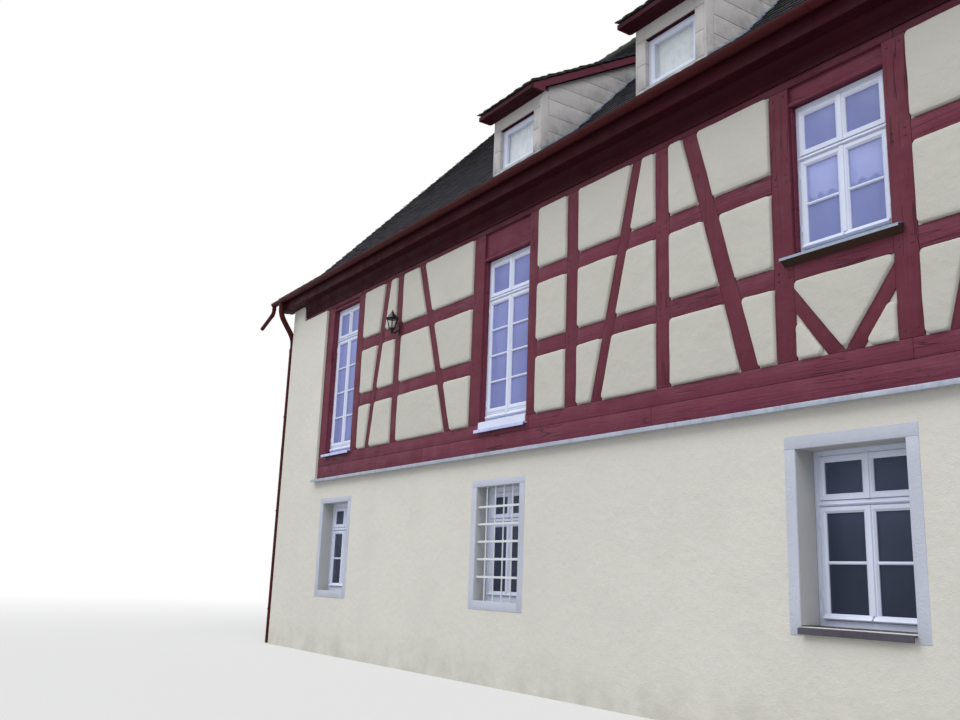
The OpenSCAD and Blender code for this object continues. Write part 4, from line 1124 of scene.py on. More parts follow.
def build_surrounds():
    """Stone bands and rendered reveals of all windows in the masonry and of the back door."""
    bands, reveals = Heap(), Heap()
    for place in (front, back):
        for x in GROUND_X:
            window_band(bands, reveals, place, x, OPENING, OPENING_FOOT, OPENING_TOP, 0.867, 2.445)
    window_band(bands, reveals, front, 0.0, MIDDLE_OPENING, 0.95, 2.398, 0.95, 2.506, foot=0.872)
    window_band(bands, reveals, back, 0.0, MIDDLE_OPENING, 0.15, 2.398, 0.15, 2.506)
    for place, y, z in gable_sites():
        window_band(bands, reveals, place, y, OPENING, z, z + 1.385, z - BAND, z + 1.493)
    piece("surround_bands", bands, finish("stone"), ["window_surrounds"])
    # The reveals' darker render is painted shade of the recesses
    piece("window_reveals", reveals, finish("reveal"))


def build_sill_sheets():
    """Sheet sills with a turned nose and ears, the board under the middle window and its sheet, and the sill
    of the middle window below."""
    sheets, pale, dark, boards, body = (Heap() for _ in range(5))
    bed = [(-0.001, SILL), (0.14, SILL), (0.14, 3.199), (0.10, 3.198), (-0.001, 3.184)]
    x0, x1 = MIDDLE_BAY
    z0, z1 = MIDDLE_SILL, MIDDLE_FOOT
    middle_bed = [(-0.001, z0), (0.14, z0), (0.14, z1 - 0.008), (-0.001, z1 - 0.016)]
    board = [(-0.066, z1 - 0.056), (-0.001, z1 - 0.106), (-0.001, z1 - 0.016), (-0.066, z1 - 0.040)]
    sheet = [
        (0.10, z1 - 0.006), (0.10, z1 - 0.001), (0.0, z1 - 0.011), (-0.070, z1 - 0.032),
        (-0.074, z1 - 0.036), (-0.074, z1 - 0.058), (-0.070, z1 - 0.058), (-0.069, z1 - 0.040),
        (0.0, z1 - 0.0158),
    ]
    lower_sheet = [
        (-0.090, 0.885), (-0.087, 0.881), (-0.082, 0.884), (-0.081, 0.922), (0.19, 0.944), (0.19, 0.949),
        (-0.084, 0.933), (-0.089, 0.930),
    ]
    for place in (front, back):
        for bay, top in ((OUTER_BAY, 3.184), (INNER_BAY, SILL_LAP)):
            nose = [
                (-0.0005, top - 0.012), (-0.0005, top + 0.004), (-0.052, top + 0.002), (-0.058, top - 0.001),
                (-0.060, top - 0.006), (-0.060, top - 0.038), (-0.057, top - 0.042), (-0.053, top - 0.040),
                (-0.054, top - 0.010),
            ]
            for k in (-1, 1):
                a, b = sorted((k * bay[0], k * bay[1]))
                run(sheets, place, a, b, bed)
                run(sheets, place, a - 0.03, b + 0.03, nose, 0.25, 0.001)
        run(boards, place, x0, x1, middle_bed)
        run(boards, place, x0 - 0.095, x1 + 0.095, board, 0.2, 0.001)
        run(pale, place, x0 - 0.1, x1 + 0.1, sheet, 0.2, 0.001)
    run(dark, front, -0.514, 0.514, lower_sheet, 0.2, 0.001)
    box(body, front, -0.623, 0.623, -0.040, 0.2, 0.87, 0.9415)
    piece("sill_sheets", sheets, finish("sill"), ["window_sills"])
    piece("middle_sill_sheets", pale, finish("lead"))
    piece("lower_sill_sheet", dark, finish("dark_sill"))
    piece("middle_sill_boards", boards, finish("sill_wood"))
    piece("middle_sill_wall", body, finish("render"))


def build_heads():
    """Boxed heads over the upper windows: a board, a small moulding of three steps at its lower edge and
    the boards beside the sashes."""
    heap = Heap()
    for place in (front, back):
        for bay, h in ((OUTER_BAY, 0.062), (INNER_BAY, 0.382), (MIDDLE_BAY, 0.192)):
            z0 = PLATE - h
            low = MIDDLE_SASH if bay is MIDDLE_BAY else SILL + 0.03
            steps = [
                (0.035, z0), (0.012, z0), (0.006, z0 + 0.006), (0.006, z0 + 0.016), (0.011, z0 + 0.022),
                (0.014, z0 + 0.03), (0.020, z0 + 0.036), (0.020, z0 + 0.046), (0.026, z0 + 0.052),
                (0.035, z0 + 0.056),
            ]
            for k in (-1, 1) if bay is not MIDDLE_BAY else (1,):
                x0, x1 = sorted((k * bay[0], k * bay[1]))
                beam(heap, place, x0, x1, z0 + 0.012, PLATE, v0=0.03, arris=0.003, size=0.001)
                run(heap, place, x0, x1, steps)
                for a, b in ((x0, x0 + 0.018), (x1 - 0.018, x1)):
                    post(heap, place, a, b, low, z0, v0=0.03, v1=0.1, arris=0.004, size=0.0)
    piece("window_head_boards", heap, finish("level"), ["window_heads"], sharp=28)


def frame_section(width, v0, v1, lip=0.012):
    """Section of an outer frame: flat face with a stepped inner edge."""
    return [
        (0, v1), (0, v0 + 0.002), (0.002, v0), (width - lip, v0), (width - lip + 0.003, v0 + 0.005),
        (width - 0.002, v0 + 0.006), (width, v0 + 0.008), (width, v1),
    ]


def bar_section(width, v0, v1, slope=0.008):
    """Section of a bar with both edges moulded."""
    h = width / 2
    return [(-h, v1), (-h, v0 + slope), (-h + slope, v0), (h - slope, v0), (h, v0 + slope), (h, v1)]


def light(wood, panes, place, x0, x1, z0, z1, v, rows, stile=0.052, low=0.0):
    """One light: a mitred sash over a board of height low with two grooves, level glazing bars, and its
    pane."""
    if low:
        steps = [(v + 0.046, z0)]
        for i in range(3):
            za, zb = z0 + low * i / 3 + 0.002 * (i > 0), z0 + low * (i + 1) / 3 - 0.002
            steps += [(v + 0.009, za), (v + 0.005, za + 0.004), (v + 0.005, zb - 0.004), (v + 0.009, zb)]
        steps += [(v + 0.009, z0 + low), (v + 0.046, z0 + low)]
        run(wood, place, x0, x1, steps)
        z0 += low
    section = [
        (0, v + 0.048), (0, v + 0.004), (0.004, v), (stile - 0.018, v), (stile - 0.014, v + 0.003),
        (stile - 0.006, v + 0.010), (stile, v + 0.013), (stile, v + 0.048),
    ]
    mitred(wood, place, x0, x1, z0, z1, section)
    gx0, gx1, gz0, gz1 = x0 + stile, x1 - stile, z0 + stile, z1 - stile
    for i in range(1, rows):
        z = gz0 + (gz1 - gz0) * i / rows
        bar(wood, place, (gx0 - 0.004, z), (gx1 + 0.004, z), bar_section(0.026, v + 0.006, v + 0.042))
    box(panes, place, gx0 - 0.004, gx1 + 0.004, v + 0.024, v + 0.029, gz0 - 0.004, gz1 + 0.004, 0.001)


def weather_rail(wood, place, x0, x1, z, v):
    """Rail that throws the water off the lower edge of a sash: sloping top, rounded nose and drip."""
    out = 0.03
    profile = [
        (v + 0.002, z), (v - out + 0.012, z), (v - out + 0.010, z + 0.006), (v - out + 0.003, z + 0.004),
        (v - out, z + 0.009), (v - out + 0.003, z + 0.017), (v - 0.008, z + 0.034), (v + 0.002, z + 0.046),
    ]
    run(wood, place, x0, x1, profile)


def casement_window(wood, panes, place, x, width, z0, z1, transom, v, rows, edge=0.045, low_rail=0.0):
    """Window of four lights: outer frame, transom with a drip, mullion, two sashes below and two above."""
    x0, x1 = x - width / 2, x + width / 2
    inner0, inner1 = x0 + edge, x1 - edge
    v0, gap = v + 0.006, 0.003
    mitred(wood, place, x0, x1, z0, z1, frame_section(edge, v0, v + 0.06))
    ends = (inner0 - 0.002, transom), (inner1 + 0.002, transom)
    bar(wood, place, *ends, bar_section(0.05, v0, v + 0.058))
    drip = [
        (v0 + 0.002, transom - 0.012), (v0 - 0.016, transom - 0.014), (v0 - 0.020, transom - 0.008),
        (v0 - 0.016, transom + 0.002), (v0 + 0.002, transom + 0.014),
    ]
    run(wood, place, inner0 - 0.004, inner1 + 0.004, drip)
    lights = (
        (z0 + edge + gap, transom - 0.025 - gap, rows, low_rail),
        (transom + 0.025 + gap, z1 - edge - gap, 1, 0.0),
    )
    cover = [
        (-0.021, v + 0.002), (-0.021, v - 0.004), (-0.017, v - 0.008), (0.017, v - 0.008),
        (0.021, v - 0.004), (0.021, v + 0.002),
    ]
    for low, high, n, board in lights:
        for a, b in ((inner0 + gap, x - 0.0015), (x + 0.0015, inner1 - gap)):
            light(wood, panes, place, a, b, low, high, v, n, low=board)
            if n == rows:
                weather_rail(wood, place, a + 0.006, b - 0.006, low + 0.004, v)
        bar(wood, place, (x, low + 0.05 * (n == rows)), (x, high), cover)
    hinge = [(0.002, 0.0), (0.0065, 0.004), (0.0065, 0.07), (0.002, 0.074)]
    for k in (-1, 1):
        for z in (z0 + edge + 0.16, transom - 0.2):
            centre = place(np.array([x + k * (width / 2 - edge - 0.001), v - 0.004, z]))
            turned(wood, centre, hinge, 8)


def build_windows():
    """Joinery and panes of all windows."""
    tall, short, ground, gable, dormer, panes, hazy, dim, clear = (Heap() for _ in range(9))
    lap = [
        (0.088, SILL), (0.088, 3.206), (0.0, 3.2), (-0.012, 3.19), (-0.012, SILL_LAP), (0.0, SILL_LAP),
        (0.0, SILL),
    ]
    for place in (front, back):
        for bay, top, transom in ((OUTER_BAY, 5.710, 5.170), (INNER_BAY, 5.390, 4.855)):
            for k in (-1, 1):
                x0, x1 = sorted((k * bay[0], k * bay[1]))
                casement_window(
                    tall, panes, place, (x0 + x1) / 2, x1 - x0 - 0.004, 3.198, top, transom, UPPER_RECESS, 4,
                    low_rail=0.082,
                )
                if bay is INNER_BAY:
                    run(tall, place, x0 + 0.002, x1 - 0.002, lap)
        casement_window(short, hazy, place, 0.0, 0.967, MIDDLE_FOOT, 5.58, 5.062, UPPER_RECESS, 2)
        recess, edge = (SHALLOW_RECESS, 0.07) if place is front else (DEEP_RECESS, 0.05)
        for x in GROUND_X:
            casement_window(ground, dim, place, x, OPENING + 0.01, 0.97, 2.365, 1.95, recess, 2, edge)
    casement_window(ground, dim, front, 0.0, MIDDLE_OPENING + 0.01, 0.948, 2.403, 1.95, DEEP_RECESS, 2, 0.05)
    for place, y, z in gable_sites():
        casement_window(
            gable, dim, place, y, OPENING + 0.01, z - 0.005, z + 1.39, z + 0.97, DEEP_RECESS, 2, 0.05
        )
    for x in DORMERS:
        mitred(dormer, front, x - 0.375, x + 0.375, 6.60, 7.20, frame_section(0.036, 0.054, 0.114))
        light(dormer, clear, front, x - 0.337, x + 0.337, 6.638, 7.162, 0.050, 1, 0.046)
    piece("tall_casements", tall, finish("white"), ["tall_windows"])
    piece("short_casements", short, finish("white"), ["short_windows"])
    piece("ground_casements", ground, finish("white"), ["ground_windows"])
    piece("gable_casements", gable, finish("white"), ["gable_windows"])
    piece("dormer_sashes", dormer, finish("white"), ["dormer_windows"])
    piece("upper_panes", panes, finish("glass"), ["window_glass"])
    piece("middle_panes", hazy, finish("hazy_glass"))
    piece("ground_panes", dim, finish("dim_glass"))
    piece("dormer_panes", clear, finish("clear_glass"))


def curtain(name, place, x0, x1, z0, z1, v, look, tooth=0.0, seed=0.0):
    """Hung net with soft pleats: v = v0 + 11 mm sin(2 pi x / pleat), less at the top and uneven along x, and
    a lower edge that is straight or cut in teeth."""
    pleat = chosen("pleat")
    u = np.linspace(0, 1, int((x1 - x0) / 0.0085) + 1)[None]
    t = np.linspace(0, 1, 14)[:, None]
    x = x0 + (x1 - x0) * u + 0 * t
    drop = (z1 - z0) - tooth * np.abs(((u * (x1 - x0) / 0.12) % 1) * 2 - 1)
    z = z1 - drop * t
    v = v + 0.011 * (0.45 + 0.55 * t) * np.sin(2 * np.pi * x / pleat + seed + 0.7 * np.sin(9 * x + seed))
    heap = Heap()
    heap.add(place(np.stack([x, v, z], -1)), [grid_faces(14, u.shape[1])], shut=False)
    obj = piece(name, heap, finish(look))


def build_curtains():
    """Nets behind the middle window and the dormer windows."""
    for i, (x0, x1) in enumerate(((-0.395, -0.035), (0.035, 0.395))):
        curtain(f"lace_valance_{i}", front, x0, x1, 4.655, 5.02, 0.135, "lace", 0.055, i)
    for i, x in enumerate(DORMERS):
        look = "lace" if abs(x) < 3 else "net"
        curtain(f"dormer_net_{i}", front, x - 0.31, x + 0.31, 6.65, 7.17, 0.118, look, 0.0, i)


def build_grilles():
    """White grilles: round uprights through flat level bars, with collars at the crossings."""
    heap = Heap()
    half = OPENING / 2
    levels = 1.6845 + 0.213 * np.arange(-2, 3)
    collar = [(0.008, 0.0), (0.0125, 0.003), (0.0125, 0.037), (0.008, 0.04)]
    for x in GROUND_X[1:3]:
        uprights = x - half + 0.183 * np.arange(1, 5)
        for xi in uprights:
            tube(heap, front(np.array([(xi, -0.001, z) for z in (0.978, 1.6, 2.357)])), 0.0085, 8)
        for z in levels:
            bar(heap, front, (x - half, z), (x + half, z), bar_section(0.026, -0.008, 0.006, 0.002))
            for xi in uprights:
                turned(heap, front(np.array([xi, -0.001, z - 0.02])), collar, 8)
    piece("iron_grilles", heap, finish("iron"), ["window_grilles"])


def build_lanterns():
    """Coach lanterns: wall plate, curved arm, six sided tapered body with bars, bell roof and finial."""
    iron, lamp = Heap(), Heap()
    foot = [
        (0.006, -0.094), (0.014, -0.088), (0.016, -0.076), (0.008, -0.064), (0.012, -0.05), (0.024, -0.03),
        (0.044, 0.0), (0.052, 0.012), (0.048, 0.018),
    ]
    roof = [
        (0.1, 0.203), (0.119, 0.207), (0.122, 0.218), (0.104, 0.225), (0.092, 0.246), (0.076, 0.268),
        (0.055, 0.295), (0.040, 0.316), (0.024, 0.330), (0.018, 0.336), (0.027, 0.344), (0.027, 0.352),
        (0.014, 0.362), (0.009, 0.372), (0.013, 0.382), (0.008, 0.395), (0.001, 0.405),
    ]
    panes = [(0.045, 0.018), (0.095, 0.205)]
    plate = [(-0.032, -0.08), (0.032, -0.08), (0.032, 0.075), (0.0, 0.105), (-0.032, 0.075)]
    six = np.radians(np.arange(6) * 60 + 30)
    reach = -0.14
    for k in (-1, 1):
        def at(p, k=k):
            """The lantern's own place: scaled, then moved to its post."""
            return front(p * LANTERN_SCALE + np.array([k * LANTERN_X, 0.0, PLATE - LANTERN_DROP]))

        def round_part(heap, profile, sides, at=at, **options):
            """Turned part whose profile is scaled as the lantern is."""
            scaled = [(r * LANTERN_SCALE[0], z * LANTERN_SCALE[2]) for r, z in profile]
            turned(heap, at(np.array([0.0, reach, 0.0])), scaled, sides, **options)

        slab(iron, at, plate, -0.014, 0.0, 0.004, 0.01)
        s = np.linspace(0, 1, 14)
        arm = np.stack([0 * s, -0.01 + (reach + 0.01) * s, 0.01 - 0.045 * np.sin(np.pi * s) - 0.06 * s], -1)
        tube(iron, at(arm), 0.012 - 0.002 * s, 10)
        round_part(iron, foot, 18)
        round_part(lamp, panes, 6, phase=six[0])
        for a in six:
            low = np.array([0.049 * math.cos(a), reach + 0.049 * math.sin(a), 0.012])
            high = np.array([0.100 * math.cos(a), reach + 0.100 * math.sin(a), 0.21])
            tube(iron, at(np.array([low, (low + high) / 2, high])), 0.007, 6)
        for r, z in ((0.050, 0.016), (0.0995, 0.205)):
            ring = [(r * math.cos(a), reach + r * math.sin(a), z) for a in np.append(six, six[:2])]
            for p, q in zip(ring, ring[1:]):
                tube(iron, at(np.array([p, (np.array(p) + q) / 2, q])), 0.0045, 6)
        round_part(iron, roof, 6, phase=six[0])
    piece("coach_lanterns", iron, finish("black"), ["wall_lanterns"])
    piece("lantern_panes", lamp, finish("lamp"))


def build_door():
    """Back door with a frame, two leaves of raised panels and a handle."""
    heap, metal = Heap(), Heap()
    half = MIDDLE_OPENING / 2 + BAND
    rim = [(0, 0.213), (0, 0.205), (0.006, 0.199), (0.012, 0.205), (0.012, 0.213)]
    lever = [
        (0.07, 0.2, 1.25), (0.07, 0.165, 1.25), (0.078, 0.155, 1.25), (0.11, 0.152, 1.25),
        (0.18, 0.152, 1.247),
    ]
    box(heap, back, -half, half, 0.212, 0.26, 0.15, 2.506, 0.002)
    mitred(heap, back, -0.52, 0.52, 0.1, 2.402, frame_section(0.05, 0.202, 0.214))
    for k in (-1, 1):
        x0, x1 = sorted((k * 0.004, k * 0.466))
        mitred(heap, back, x0, x1, 0.155, 2.35, frame_section(0.085, 0.205, 0.214, 0.01))
        for low, high in ((0.26, 0.98), (1.08, 2.26)):
            a, b = x0 + 0.088, x1 - 0.088
            slab(heap, back, [(a, low), (b, low), (b, high), (a, high)], 0.196, 0.214, 0.014, 0.002)
            mitred(heap, back, a - 0.006, b + 0.006, low - 0.006, high + 0.006, rim)
        bar(heap, back, (x0 + 0.08, 1.03), (x1 - 0.08, 1.03), bar_section(0.1, 0.205, 0.214, 0.003))
    bar(heap, back, (0, 0.16), (0, 2.34), bar_section(0.04, 0.196, 0.214, 0.006))
    slab(metal, back, [(0.05, 1.1), (0.09, 1.1), (0.09, 1.32), (0.05, 1.32)], 0.198, 0.206, 0.002, 0.012)
    tube(metal, back(np.array(lever)), 0.008, 10)
    piece("panelled_door", heap, finish("upright"), ["entrance_door"])
    piece("door_handle", metal, finish("black"))


def dormer_front(cladding, trim, at, low, i):
    """Slabs beside, over and under a dormer's window, its corner boards and the strip over the sash."""
    for k in (-1, 1):
        a, b = sorted((k * 0.375, k * 0.499))
        for j, (za, zb) in enumerate(((low, 6.60), (6.60, 6.90), (6.90, 7.20), (7.20, DORMER_TOP))):
            box(cladding, at, a, b, 0.0, 0.118, za + 0.0025, zb - 0.0025, 0.004, (i * 0.3 + j * 0.47 + k) % 1)
        a, b = sorted((k * 0.5, k * DORMER_HALF))
        box(cladding, at, a, b, 0.0, 0.118, low, DORMER_TOP, 0.003, 0.2)
    box(cladding, at, -0.3745, 0.3745, 0.0, 0.118, 7.201, DORMER_TOP, 0.003, 0.3)
    box(cladding, at, -0.3745, 0.3745, 0.0, 0.118, low, 6.599, 0.003, 0.6)
    box(trim, at, -0.372, 0.372, 0.012, 0.06, 7.186, 7.199, 0.002)


def dormer_cheeks(cladding, zinc, x, low, i):
    """Both cheeks: a core whose upper edge rises as top + slope v, slabs in courses clipped to it, and
    flashings stepped along the tiles."""
    slope = math.tan(DORMER_PITCH)
    cheek = [
        (0.119, low + 0.09), (FLARE_V, 6.9493), (CHEEK_END, DORMER_TOP + slope * CHEEK_END),
        (0.119, DORMER_TOP + slope * 0.119),
    ]
    levels = np.arange(6.42, 8.8, 0.228)
    for k in (-1, 1):
        outer = x + k * DORMER_HALF

        def side(p, outer=outer, k=k):
            """The cheek's own place: its outline lies in v and z, its depth runs inwards along x."""
            return front(np.stack([outer - k * p[..., 1], p[..., 0], p[..., 2]], -1))

        slab(cladding, side, cheek, 0.006, 0.118, 0.002, 0.001, inset=0.001, tone=0.9)
        for j, (za, zb) in enumerate(zip(levels, levels[1:])):
            strip = clipped(clipped(cheek, (0, za), (1, za)), (1, zb), (0, zb))
            strip = [p for n, p in enumerate(strip) if math.dist(p, strip[n - 1]) > 1e-5]
            if len(strip) < 3:
                continue
            length, height = np.ptp(np.array(strip), axis=0)
            if length > 0.06 and height > 0.05:
                tone = (j * 0.37 + i * 0.21 + k * 0.2) % 1
                slab(cladding, side, strip, 0.0, 0.01, 0.004, 0.001, inset=0.003, tone=tone)
        for n in range(17):
            v = 0.02 + n * 0.128
            z = float(roof_z(v)) - 0.03
            tilt = math.radians(38.8 if v < 0.5 else 47)
            c, s = math.cos(tilt), math.sin(tilt)
            quad = [(v, z), (v + 0.2 * c, z + 0.2 * s), (v + 0.2 * c, z + 0.2 * s + 0.022), (v, z + 0.056)]
            slab(zinc, side, quad, -0.0045 - 0.001 * (n % 2), 0.001, 0.001, 0.001, tone=n * 0.31 % 1)


def dormer_boards(trim, verges, at):
    """Core under a dormer's tiles, verge boards, three soffit boards and the board at the eaves."""
    slope, half, top = math.tan(DORMER_PITCH), DORMER_EAVES, DORMER_TOP
    v0, v1, soffit = CHEEK_END, DORMER_END, DORMER_SOFFIT
    under = [
        (-0.19, 7.372), (0.0, 7.372), (0.0, 7.436), (v0, 7.436 + slope * v0),
        (v1 - 0.02, 7.528 + slope * (v1 - 0.02)), (-0.19, 7.528 - slope * 0.19),
    ]
    run(trim, at, -half + 0.02, half - 0.02, under, tone=0.4)
    verge = [
        (-0.19, soffit), (-0.02, soffit), (0.0, 7.372), (0.0, top), (v0, top + slope * v0),
        (v1, 7.53 + slope * v1), (-0.19, 7.53 - slope * 0.19),
    ]
    for k in (-1, 1):
        a, b = sorted((k * (half - 0.022), k * half))
        run(verges, at, a, b, verge, tone=0.7)
    for j in range(3):
        v = -0.188 + j * 0.063
        board = [
            (v, 7.374), (v, 7.363), (v + 0.003, soffit), (v + 0.057, soffit), (v + 0.06, 7.363),
            (v + 0.06, 7.374),
        ]
        run(trim, at, -half + 0.022, half - 0.022, board, tone=j * 0.4)
    face = [(-0.205, soffit), (-0.19, soffit), (-0.19, 7.425), (-0.205, 7.417)]
    run(trim, at, -half, half, face, tone=0.5)


def dormer_rows():
    """Rows of a dormer's roof: a short one at the eave, then one every 148 mm up to its end."""
    angle, slope = DORMER_PITCH, math.tan(DORMER_PITCH)
    rows = [(-0.205, 7.523 - slope * 0.205, angle, 0.25)]
    for i in range(21):
        v = -0.205 + i * 0.148 * math.cos(angle)
        room = 9 if v < DORMER_END - 0.3 else (DORMER_END + 0.04 - v) / math.cos(angle)
        if v < DORMER_END - 0.03:
            rows.append((v, 7.535 + slope * v, angle, room))
    return rows


def build_dormers():
    """Dormers: slab clad fronts and cheeks on a core, boxed eaves, tiled roofs and stepped flashings."""
    cladding, trim, verges, tiles, zinc = (Heap() for _ in range(5))
    low = float(roof_z(0.0)) - DECK_DROP
    half = DORMER_EAVES + 0.02
    for i, x in enumerate(DORMERS):
        at = moved(front, x)
        dormer_front(cladding, trim, at, low, i)
        dormer_cheeks(cladding, zinc, x, low, i)
        dormer_boards(trim, verges, at)
        tile_rows(tiles, at, dormer_rows(), -half, half, 20 + i)
    piece("dormer_slabs", cladding, finish("cladding"), ["dormer_fronts", "dormer_cheeks"])
    piece("dormer_eaves", trim, finish("trim"), ["dormer_roofs"])
    piece("dormer_verges", verges, finish("level"))
    piece("dormer_tiles", tiles, finish("mossy"), sharp=30)
    piece("dormer_flashings", zinc, finish("lead"))


def stage_floor():
    """Pale floor that the camera sees blended with white: by 45% up to 16 m away, fully from 38 m on."""
    mesh = bpy.data.meshes.new("floor")
    r = 160.0
    mesh.from_pydata([(-r, -r, 0), (r, -r, 0), (r, r, 0), (-r, r, 0)], [], [(0, 1, 2, 3)])
    floor = bpy.data.objects.new("floor", mesh)
    bpy.context.scene.collection.objects.link(floor)
    f = Finish("floor", (0.5, 0.5, 0.5), 0.9, Specular_IOR_Level=0.1)
    material = f.done()
    flat = f.node("CombineXYZ", {0: f.axis("X"), 1: f.axis("Y")}).outputs[0]
    reach = f.node("VectorMath", {0: flat}, operation="LENGTH").outputs["Value"]
    far = f.between(reach, 16.0, 38.0, 0.45, 1.0)
    seen = f.node("LightPath").outputs["Is Camera Ray"]
    white = f.node("Emission", {"Color": (1, 1, 1, 1), "Strength": 1.0}).outputs[0]
    blend = f.node("MixShader", {0: f.both(far, seen), 1: f.shader.outputs[0], 2: white}).outputs[0]
    f.tree.links.new(blend, f.tree.nodes["Material Output"].inputs["Surface"])
    mesh.materials.append(material)


def stage_sky(strength):
    """Even pale light from all round, which the camera, mirrors and panes see as plain white."""
    world = bpy.data.worlds.new("studio")
    bpy.context.scene.world = world
    world.use_nodes = True
    tree = world.node_tree
    tree.nodes.clear()

    def node(kind, *inputs, **settings):
        """Adds a node, links or sets its inputs in their order and gives its outputs."""
        n = tree.nodes.new("ShaderNode" + kind)
        for key, value in settings.items():
            setattr(n, key, value)
        for socket, value in zip(n.inputs, inputs):
            if isinstance(value, bpy.types.NodeSocket):
                tree.links.new(value, socket)
            else:
                socket.default_value = value
        return n.outputs

    rays = node("LightPath")
    mirrored = node("Math", rays["Is Camera Ray"], rays["Is Glossy Ray"], operation="MAXIMUM")[0]
    seen = node("Math", mirrored, rays["Is Transmission Ray"], operation="MAXIMUM")[0]
    soft = node("Background", (0.97, 0.985, 1.0, 1.0), strength)[0]
    white = node("Background", (1.0, 1.0, 1.0, 1.0), 1.0)[0]
    node("OutputWorld", node("MixShader", seen, soft, white)[0])


def stage_lamps(settings):
    """A soft main light from the left of the front and a weaker one from its right."""
    for name, towards, strength in (
        ("key", (-0.30, -0.52, 0.80), settings.key),
        ("fill", (0.80, -0.20, 0.57), settings.fill),
    ):
        data = bpy.data.lights.new(name, "SUN")
        data.energy = strength
        data.angle = math.radians(settings.softness)
        lamp = bpy.data.objects.new(name, data)
        bpy.context.scene.collection.objects.link(lamp)
        d = np.array(towards) / np.linalg.norm(towards)
        lamp.rotation_euler = (math.acos(d[2]), 0.0, math.atan2(d[0], -d[1]))


def stage_camera():
    """The photo's camera, 1.2 m over the ground: its axes squared to the nearest rotation u v^T of their
    singular value decomposition."""
    scene = bpy.context.scene
    side = np.array([0.5557, 0.8305, 0.0374])
    up = np.array([0.1668, -0.1554, 0.9737])
    ahead = np.array([-0.8145, 0.5349, 0.2249])
    place = (4.776, -11.55, 1.20)
    data = bpy.data.cameras.new("camera")
    data.lens, data.sensor_width = 36.0, 36.0
    data.clip_start, data.clip_end = 0.1, 500.0
    camera = bpy.data.objects.new("camera", data)
    scene.collection.objects.link(camera)
    u, _, vt = np.linalg.svd(np.stack([side, up, -ahead], 1))
    matrix = np.eye(4)
    matrix[:3, :3], matrix[:3, 3] = u @ vt, place
    camera.matrix_world = Matrix(matrix.tolist())
    scene.camera = camera
    scene.view_settings.view_transform = "Standard"


def build_stage():
    """Floor, light and camera."""
    settings = bpy.context.scene.house_light
    stage_floor()
    stage_sky(settings.sky)
    stage_lamps(settings)
    stage_camera()


# Settings, operators and the panel


def colour_setting(name, text, value):
    """A colour that the user can set."""
    return bpy.props.FloatVectorProperty(
        name=name, description=text, default=value, subtype="COLOR", min=0.0, max=1.0, size=3
    )


def length_setting(name, text, value, least, most):
    """A length in metres that the user can set."""
    return bpy.props.FloatProperty(
        name=name, description=text, default=value, min=least, max=most, precision=4, unit="LENGTH"
    )


def strength_setting(name, text, value, most):
    """The strength of a light that the user can set."""
    return bpy.props.FloatProperty(name=name, description=text, default=value, min=0.0, max=most)


class HouseSizes(bpy.types.PropertyGroup):
    """Sizes of the house's finer pieces."""

    tile_width: length_setting("Tile Width", "Width that one roof tile takes up", 0.18, 0.1, 0.4)
    cushion_edge: length_setting("Cushion Edge", "Radius of the plaster's rolled edge", 0.016, 0.002, 0.03)
    unevenness: length_setting("Unevenness", "How far the timbers' edges wander", 0.003, 0.0, 0.02)
    pleat: length_setting("Pleat", "Length of one pleat of the nets", 0.085, 0.03, 0.3)


class HouseColours(bpy.types.PropertyGroup):
    """Colours of the house's finishes."""

    render: colour_setting("Render", "Lime render of the masonry", (0.655, 0.642, 0.595))
    # The infill plaster is a little darker than the render, and darker still as painted shade from the eaves
    # over the upper storey
    infill: colour_setting("Infill", "Plaster between the timbers", (0.542, 0.528, 0.485))
    timber: colour_setting("Timber", "Wine red paint of the timbers", (0.137, 0.026, 0.046))
    # The trim's dark red is partly the paint and partly painted shade under the eaves
    trim: colour_setting("Trim", "Dark red paint of eaves and boards", (0.036, 0.006, 0.010))
    gutter: colour_setting("Gutter", "Red brown paint of the gutters", (0.058, 0.012, 0.014))
    tile: colour_setting("Tile", "Old clay of the tiles", (0.038, 0.036, 0.050))
    zinc: colour_setting("Zinc", "Weathered zinc", (0.31, 0.34, 0.42))
    stone: colour_setting("Stone", "Stone of the surrounds", (0.49, 0.515, 0.61))
    cladding: colour_setting("Cladding", "Slabs on the dormers", (0.57, 0.55, 0.55))
    joinery: colour_setting("Joinery", "White paint of the windows", (0.66, 0.71, 0.87))
    # The glass colour is a painted reflection of the sky in the panes
    glass: colour_setting("Glass", "Haze of sky in the panes", (0.285, 0.325, 0.69))


class HouseLight(bpy.types.PropertyGroup):
    """Light of the stage."""

    sky: strength_setting("Sky", "Strength of the even light", 0.62, 2.0)
    key: strength_setting("Key", "Strength of the main light", 1.65, 5.0)
    fill: strength_setting("Fill", "Strength of the second light", 1.15, 5.0)
    softness: bpy.props.FloatProperty(
        name="Softness", description="Width of the light's disc in degrees", default=40.0, min=1.0, max=90.0
    )


class HouseOperator:
    """What the house's operators share: each makes its pieces and reports that it has finished."""

    bl_options = {"REGISTER", "UNDO"}

    def execute(self, context):
        """Runs the class's own make."""
        self.make()
        return {"FINISHED"}


class HOUSE_OT_masonry(HouseOperator, bpy.types.Operator):
    """Dress the masonry, the floors and the verge boards"""

    bl_idname = "house.masonry"
    bl_label = "Masonry"

    def make(self):
        build_masonry()


class HOUSE_OT_timbers(HouseOperator, bpy.types.Operator):
    """Build the hewn timbers of both long sides"""

    bl_idname = "house.timbers"
    bl_label = "Timbers"

    def make(self):
        build_frame(front, "front")
        build_frame(back, "back")
        build_sills()


class HOUSE_OT_cushions(HouseOperator, bpy.types.Operator):
    """Build the plaster cushions between the timbers"""

    bl_idname = "house.cushions"
    bl_label = "Plaster Cushions"

    def make(self):
        build_cushions(front, "front")
        build_cushions(back, "back")


class HOUSE_OT_roof(HouseOperator, bpy.types.Operator):
    """Lay the tiles and the ridge"""

    bl_idname = "house.roof"
    bl_label = "Roof"

    def make(self):
        build_roof()


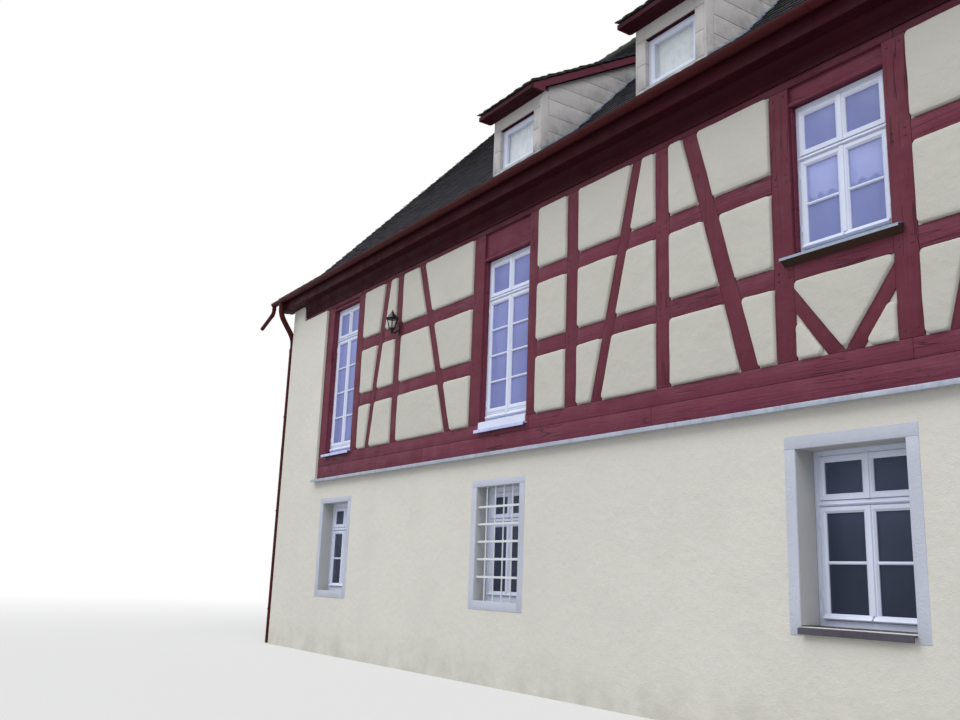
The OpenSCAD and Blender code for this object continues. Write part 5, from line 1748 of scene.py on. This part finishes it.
class HOUSE_OT_eaves(HouseOperator, bpy.types.Operator):
    """Build the eaves, gutters, pipes and the flashing"""

    bl_idname = "house.eaves"
    bl_label = "Eaves"

    def make(self):
        build_eaves()
        build_gutters()
        build_flashing()


class HOUSE_OT_dormers(HouseOperator, bpy.types.Operator):
    """Build the dormers"""

    bl_idname = "house.dormers"
    bl_label = "Dormers"

    def make(self):
        build_dormers()


class HOUSE_OT_windows(HouseOperator, bpy.types.Operator):
    """Build windows, surrounds, sills, heads, grilles and nets"""

    bl_idname = "house.windows"
    bl_label = "Windows"

    def make(self):
        build_surrounds()
        build_sill_sheets()
        build_heads()
        build_windows()
        build_curtains()
        build_grilles()


class HOUSE_OT_fittings(HouseOperator, bpy.types.Operator):
    """Build the lanterns and the back door"""

    bl_idname = "house.fittings"
    bl_label = "Lanterns and Door"

    def make(self):
        build_lanterns()
        build_door()


class HOUSE_OT_stage(HouseOperator, bpy.types.Operator):
    """Set up the floor, the light and the camera"""

    bl_idname = "house.stage"
    bl_label = "Stage"

    def make(self):
        build_stage()


PIECES = (
    HOUSE_OT_stage, HOUSE_OT_masonry, HOUSE_OT_timbers, HOUSE_OT_cushions, HOUSE_OT_roof, HOUSE_OT_eaves,
    HOUSE_OT_dormers, HOUSE_OT_windows, HOUSE_OT_fittings,
)


class HOUSE_PT_panel(bpy.types.Panel):
    """Lists the house's pieces and settings"""

    bl_idname = "HOUSE_PT_panel"
    bl_label = "House"
    bl_space_type = "VIEW_3D"
    bl_region_type = "UI"
    bl_category = "House"

    def draw(self, context):
        """A button for each operator, then the settings."""
        for cls in PIECES:
            self.layout.operator(cls.bl_idname)
        scene = context.scene
        for group in (scene.house_sizes, scene.house_colours, scene.house_light):
            for key in group.bl_rna.properties.keys():
                if key not in ("rna_type", "name"):
                    self.layout.prop(group, key)


CLASSES = (HouseSizes, HouseColours, HouseLight, *PIECES, HOUSE_PT_panel)


def register():
    """Registers the classes and gives the scene its settings."""
    for cls in CLASSES:
        bpy.utils.register_class(cls)
    bpy.types.Scene.house_sizes = bpy.props.PointerProperty(type=HouseSizes)
    bpy.types.Scene.house_colours = bpy.props.PointerProperty(type=HouseColours)
    bpy.types.Scene.house_light = bpy.props.PointerProperty(type=HouseLight)


def unregister():
    """Takes the settings and the classes away again."""
    del bpy.types.Scene.house_light
    del bpy.types.Scene.house_colours
    del bpy.types.Scene.house_sizes
    for cls in reversed(CLASSES):
        bpy.utils.unregister_class(cls)


def main():
    """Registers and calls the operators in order."""
    register()
    for cls in PIECES:
        group, name = cls.bl_idname.split(".")
        getattr(getattr(bpy.ops, group), name)()
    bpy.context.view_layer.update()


if __name__ == "__main__":
    main()
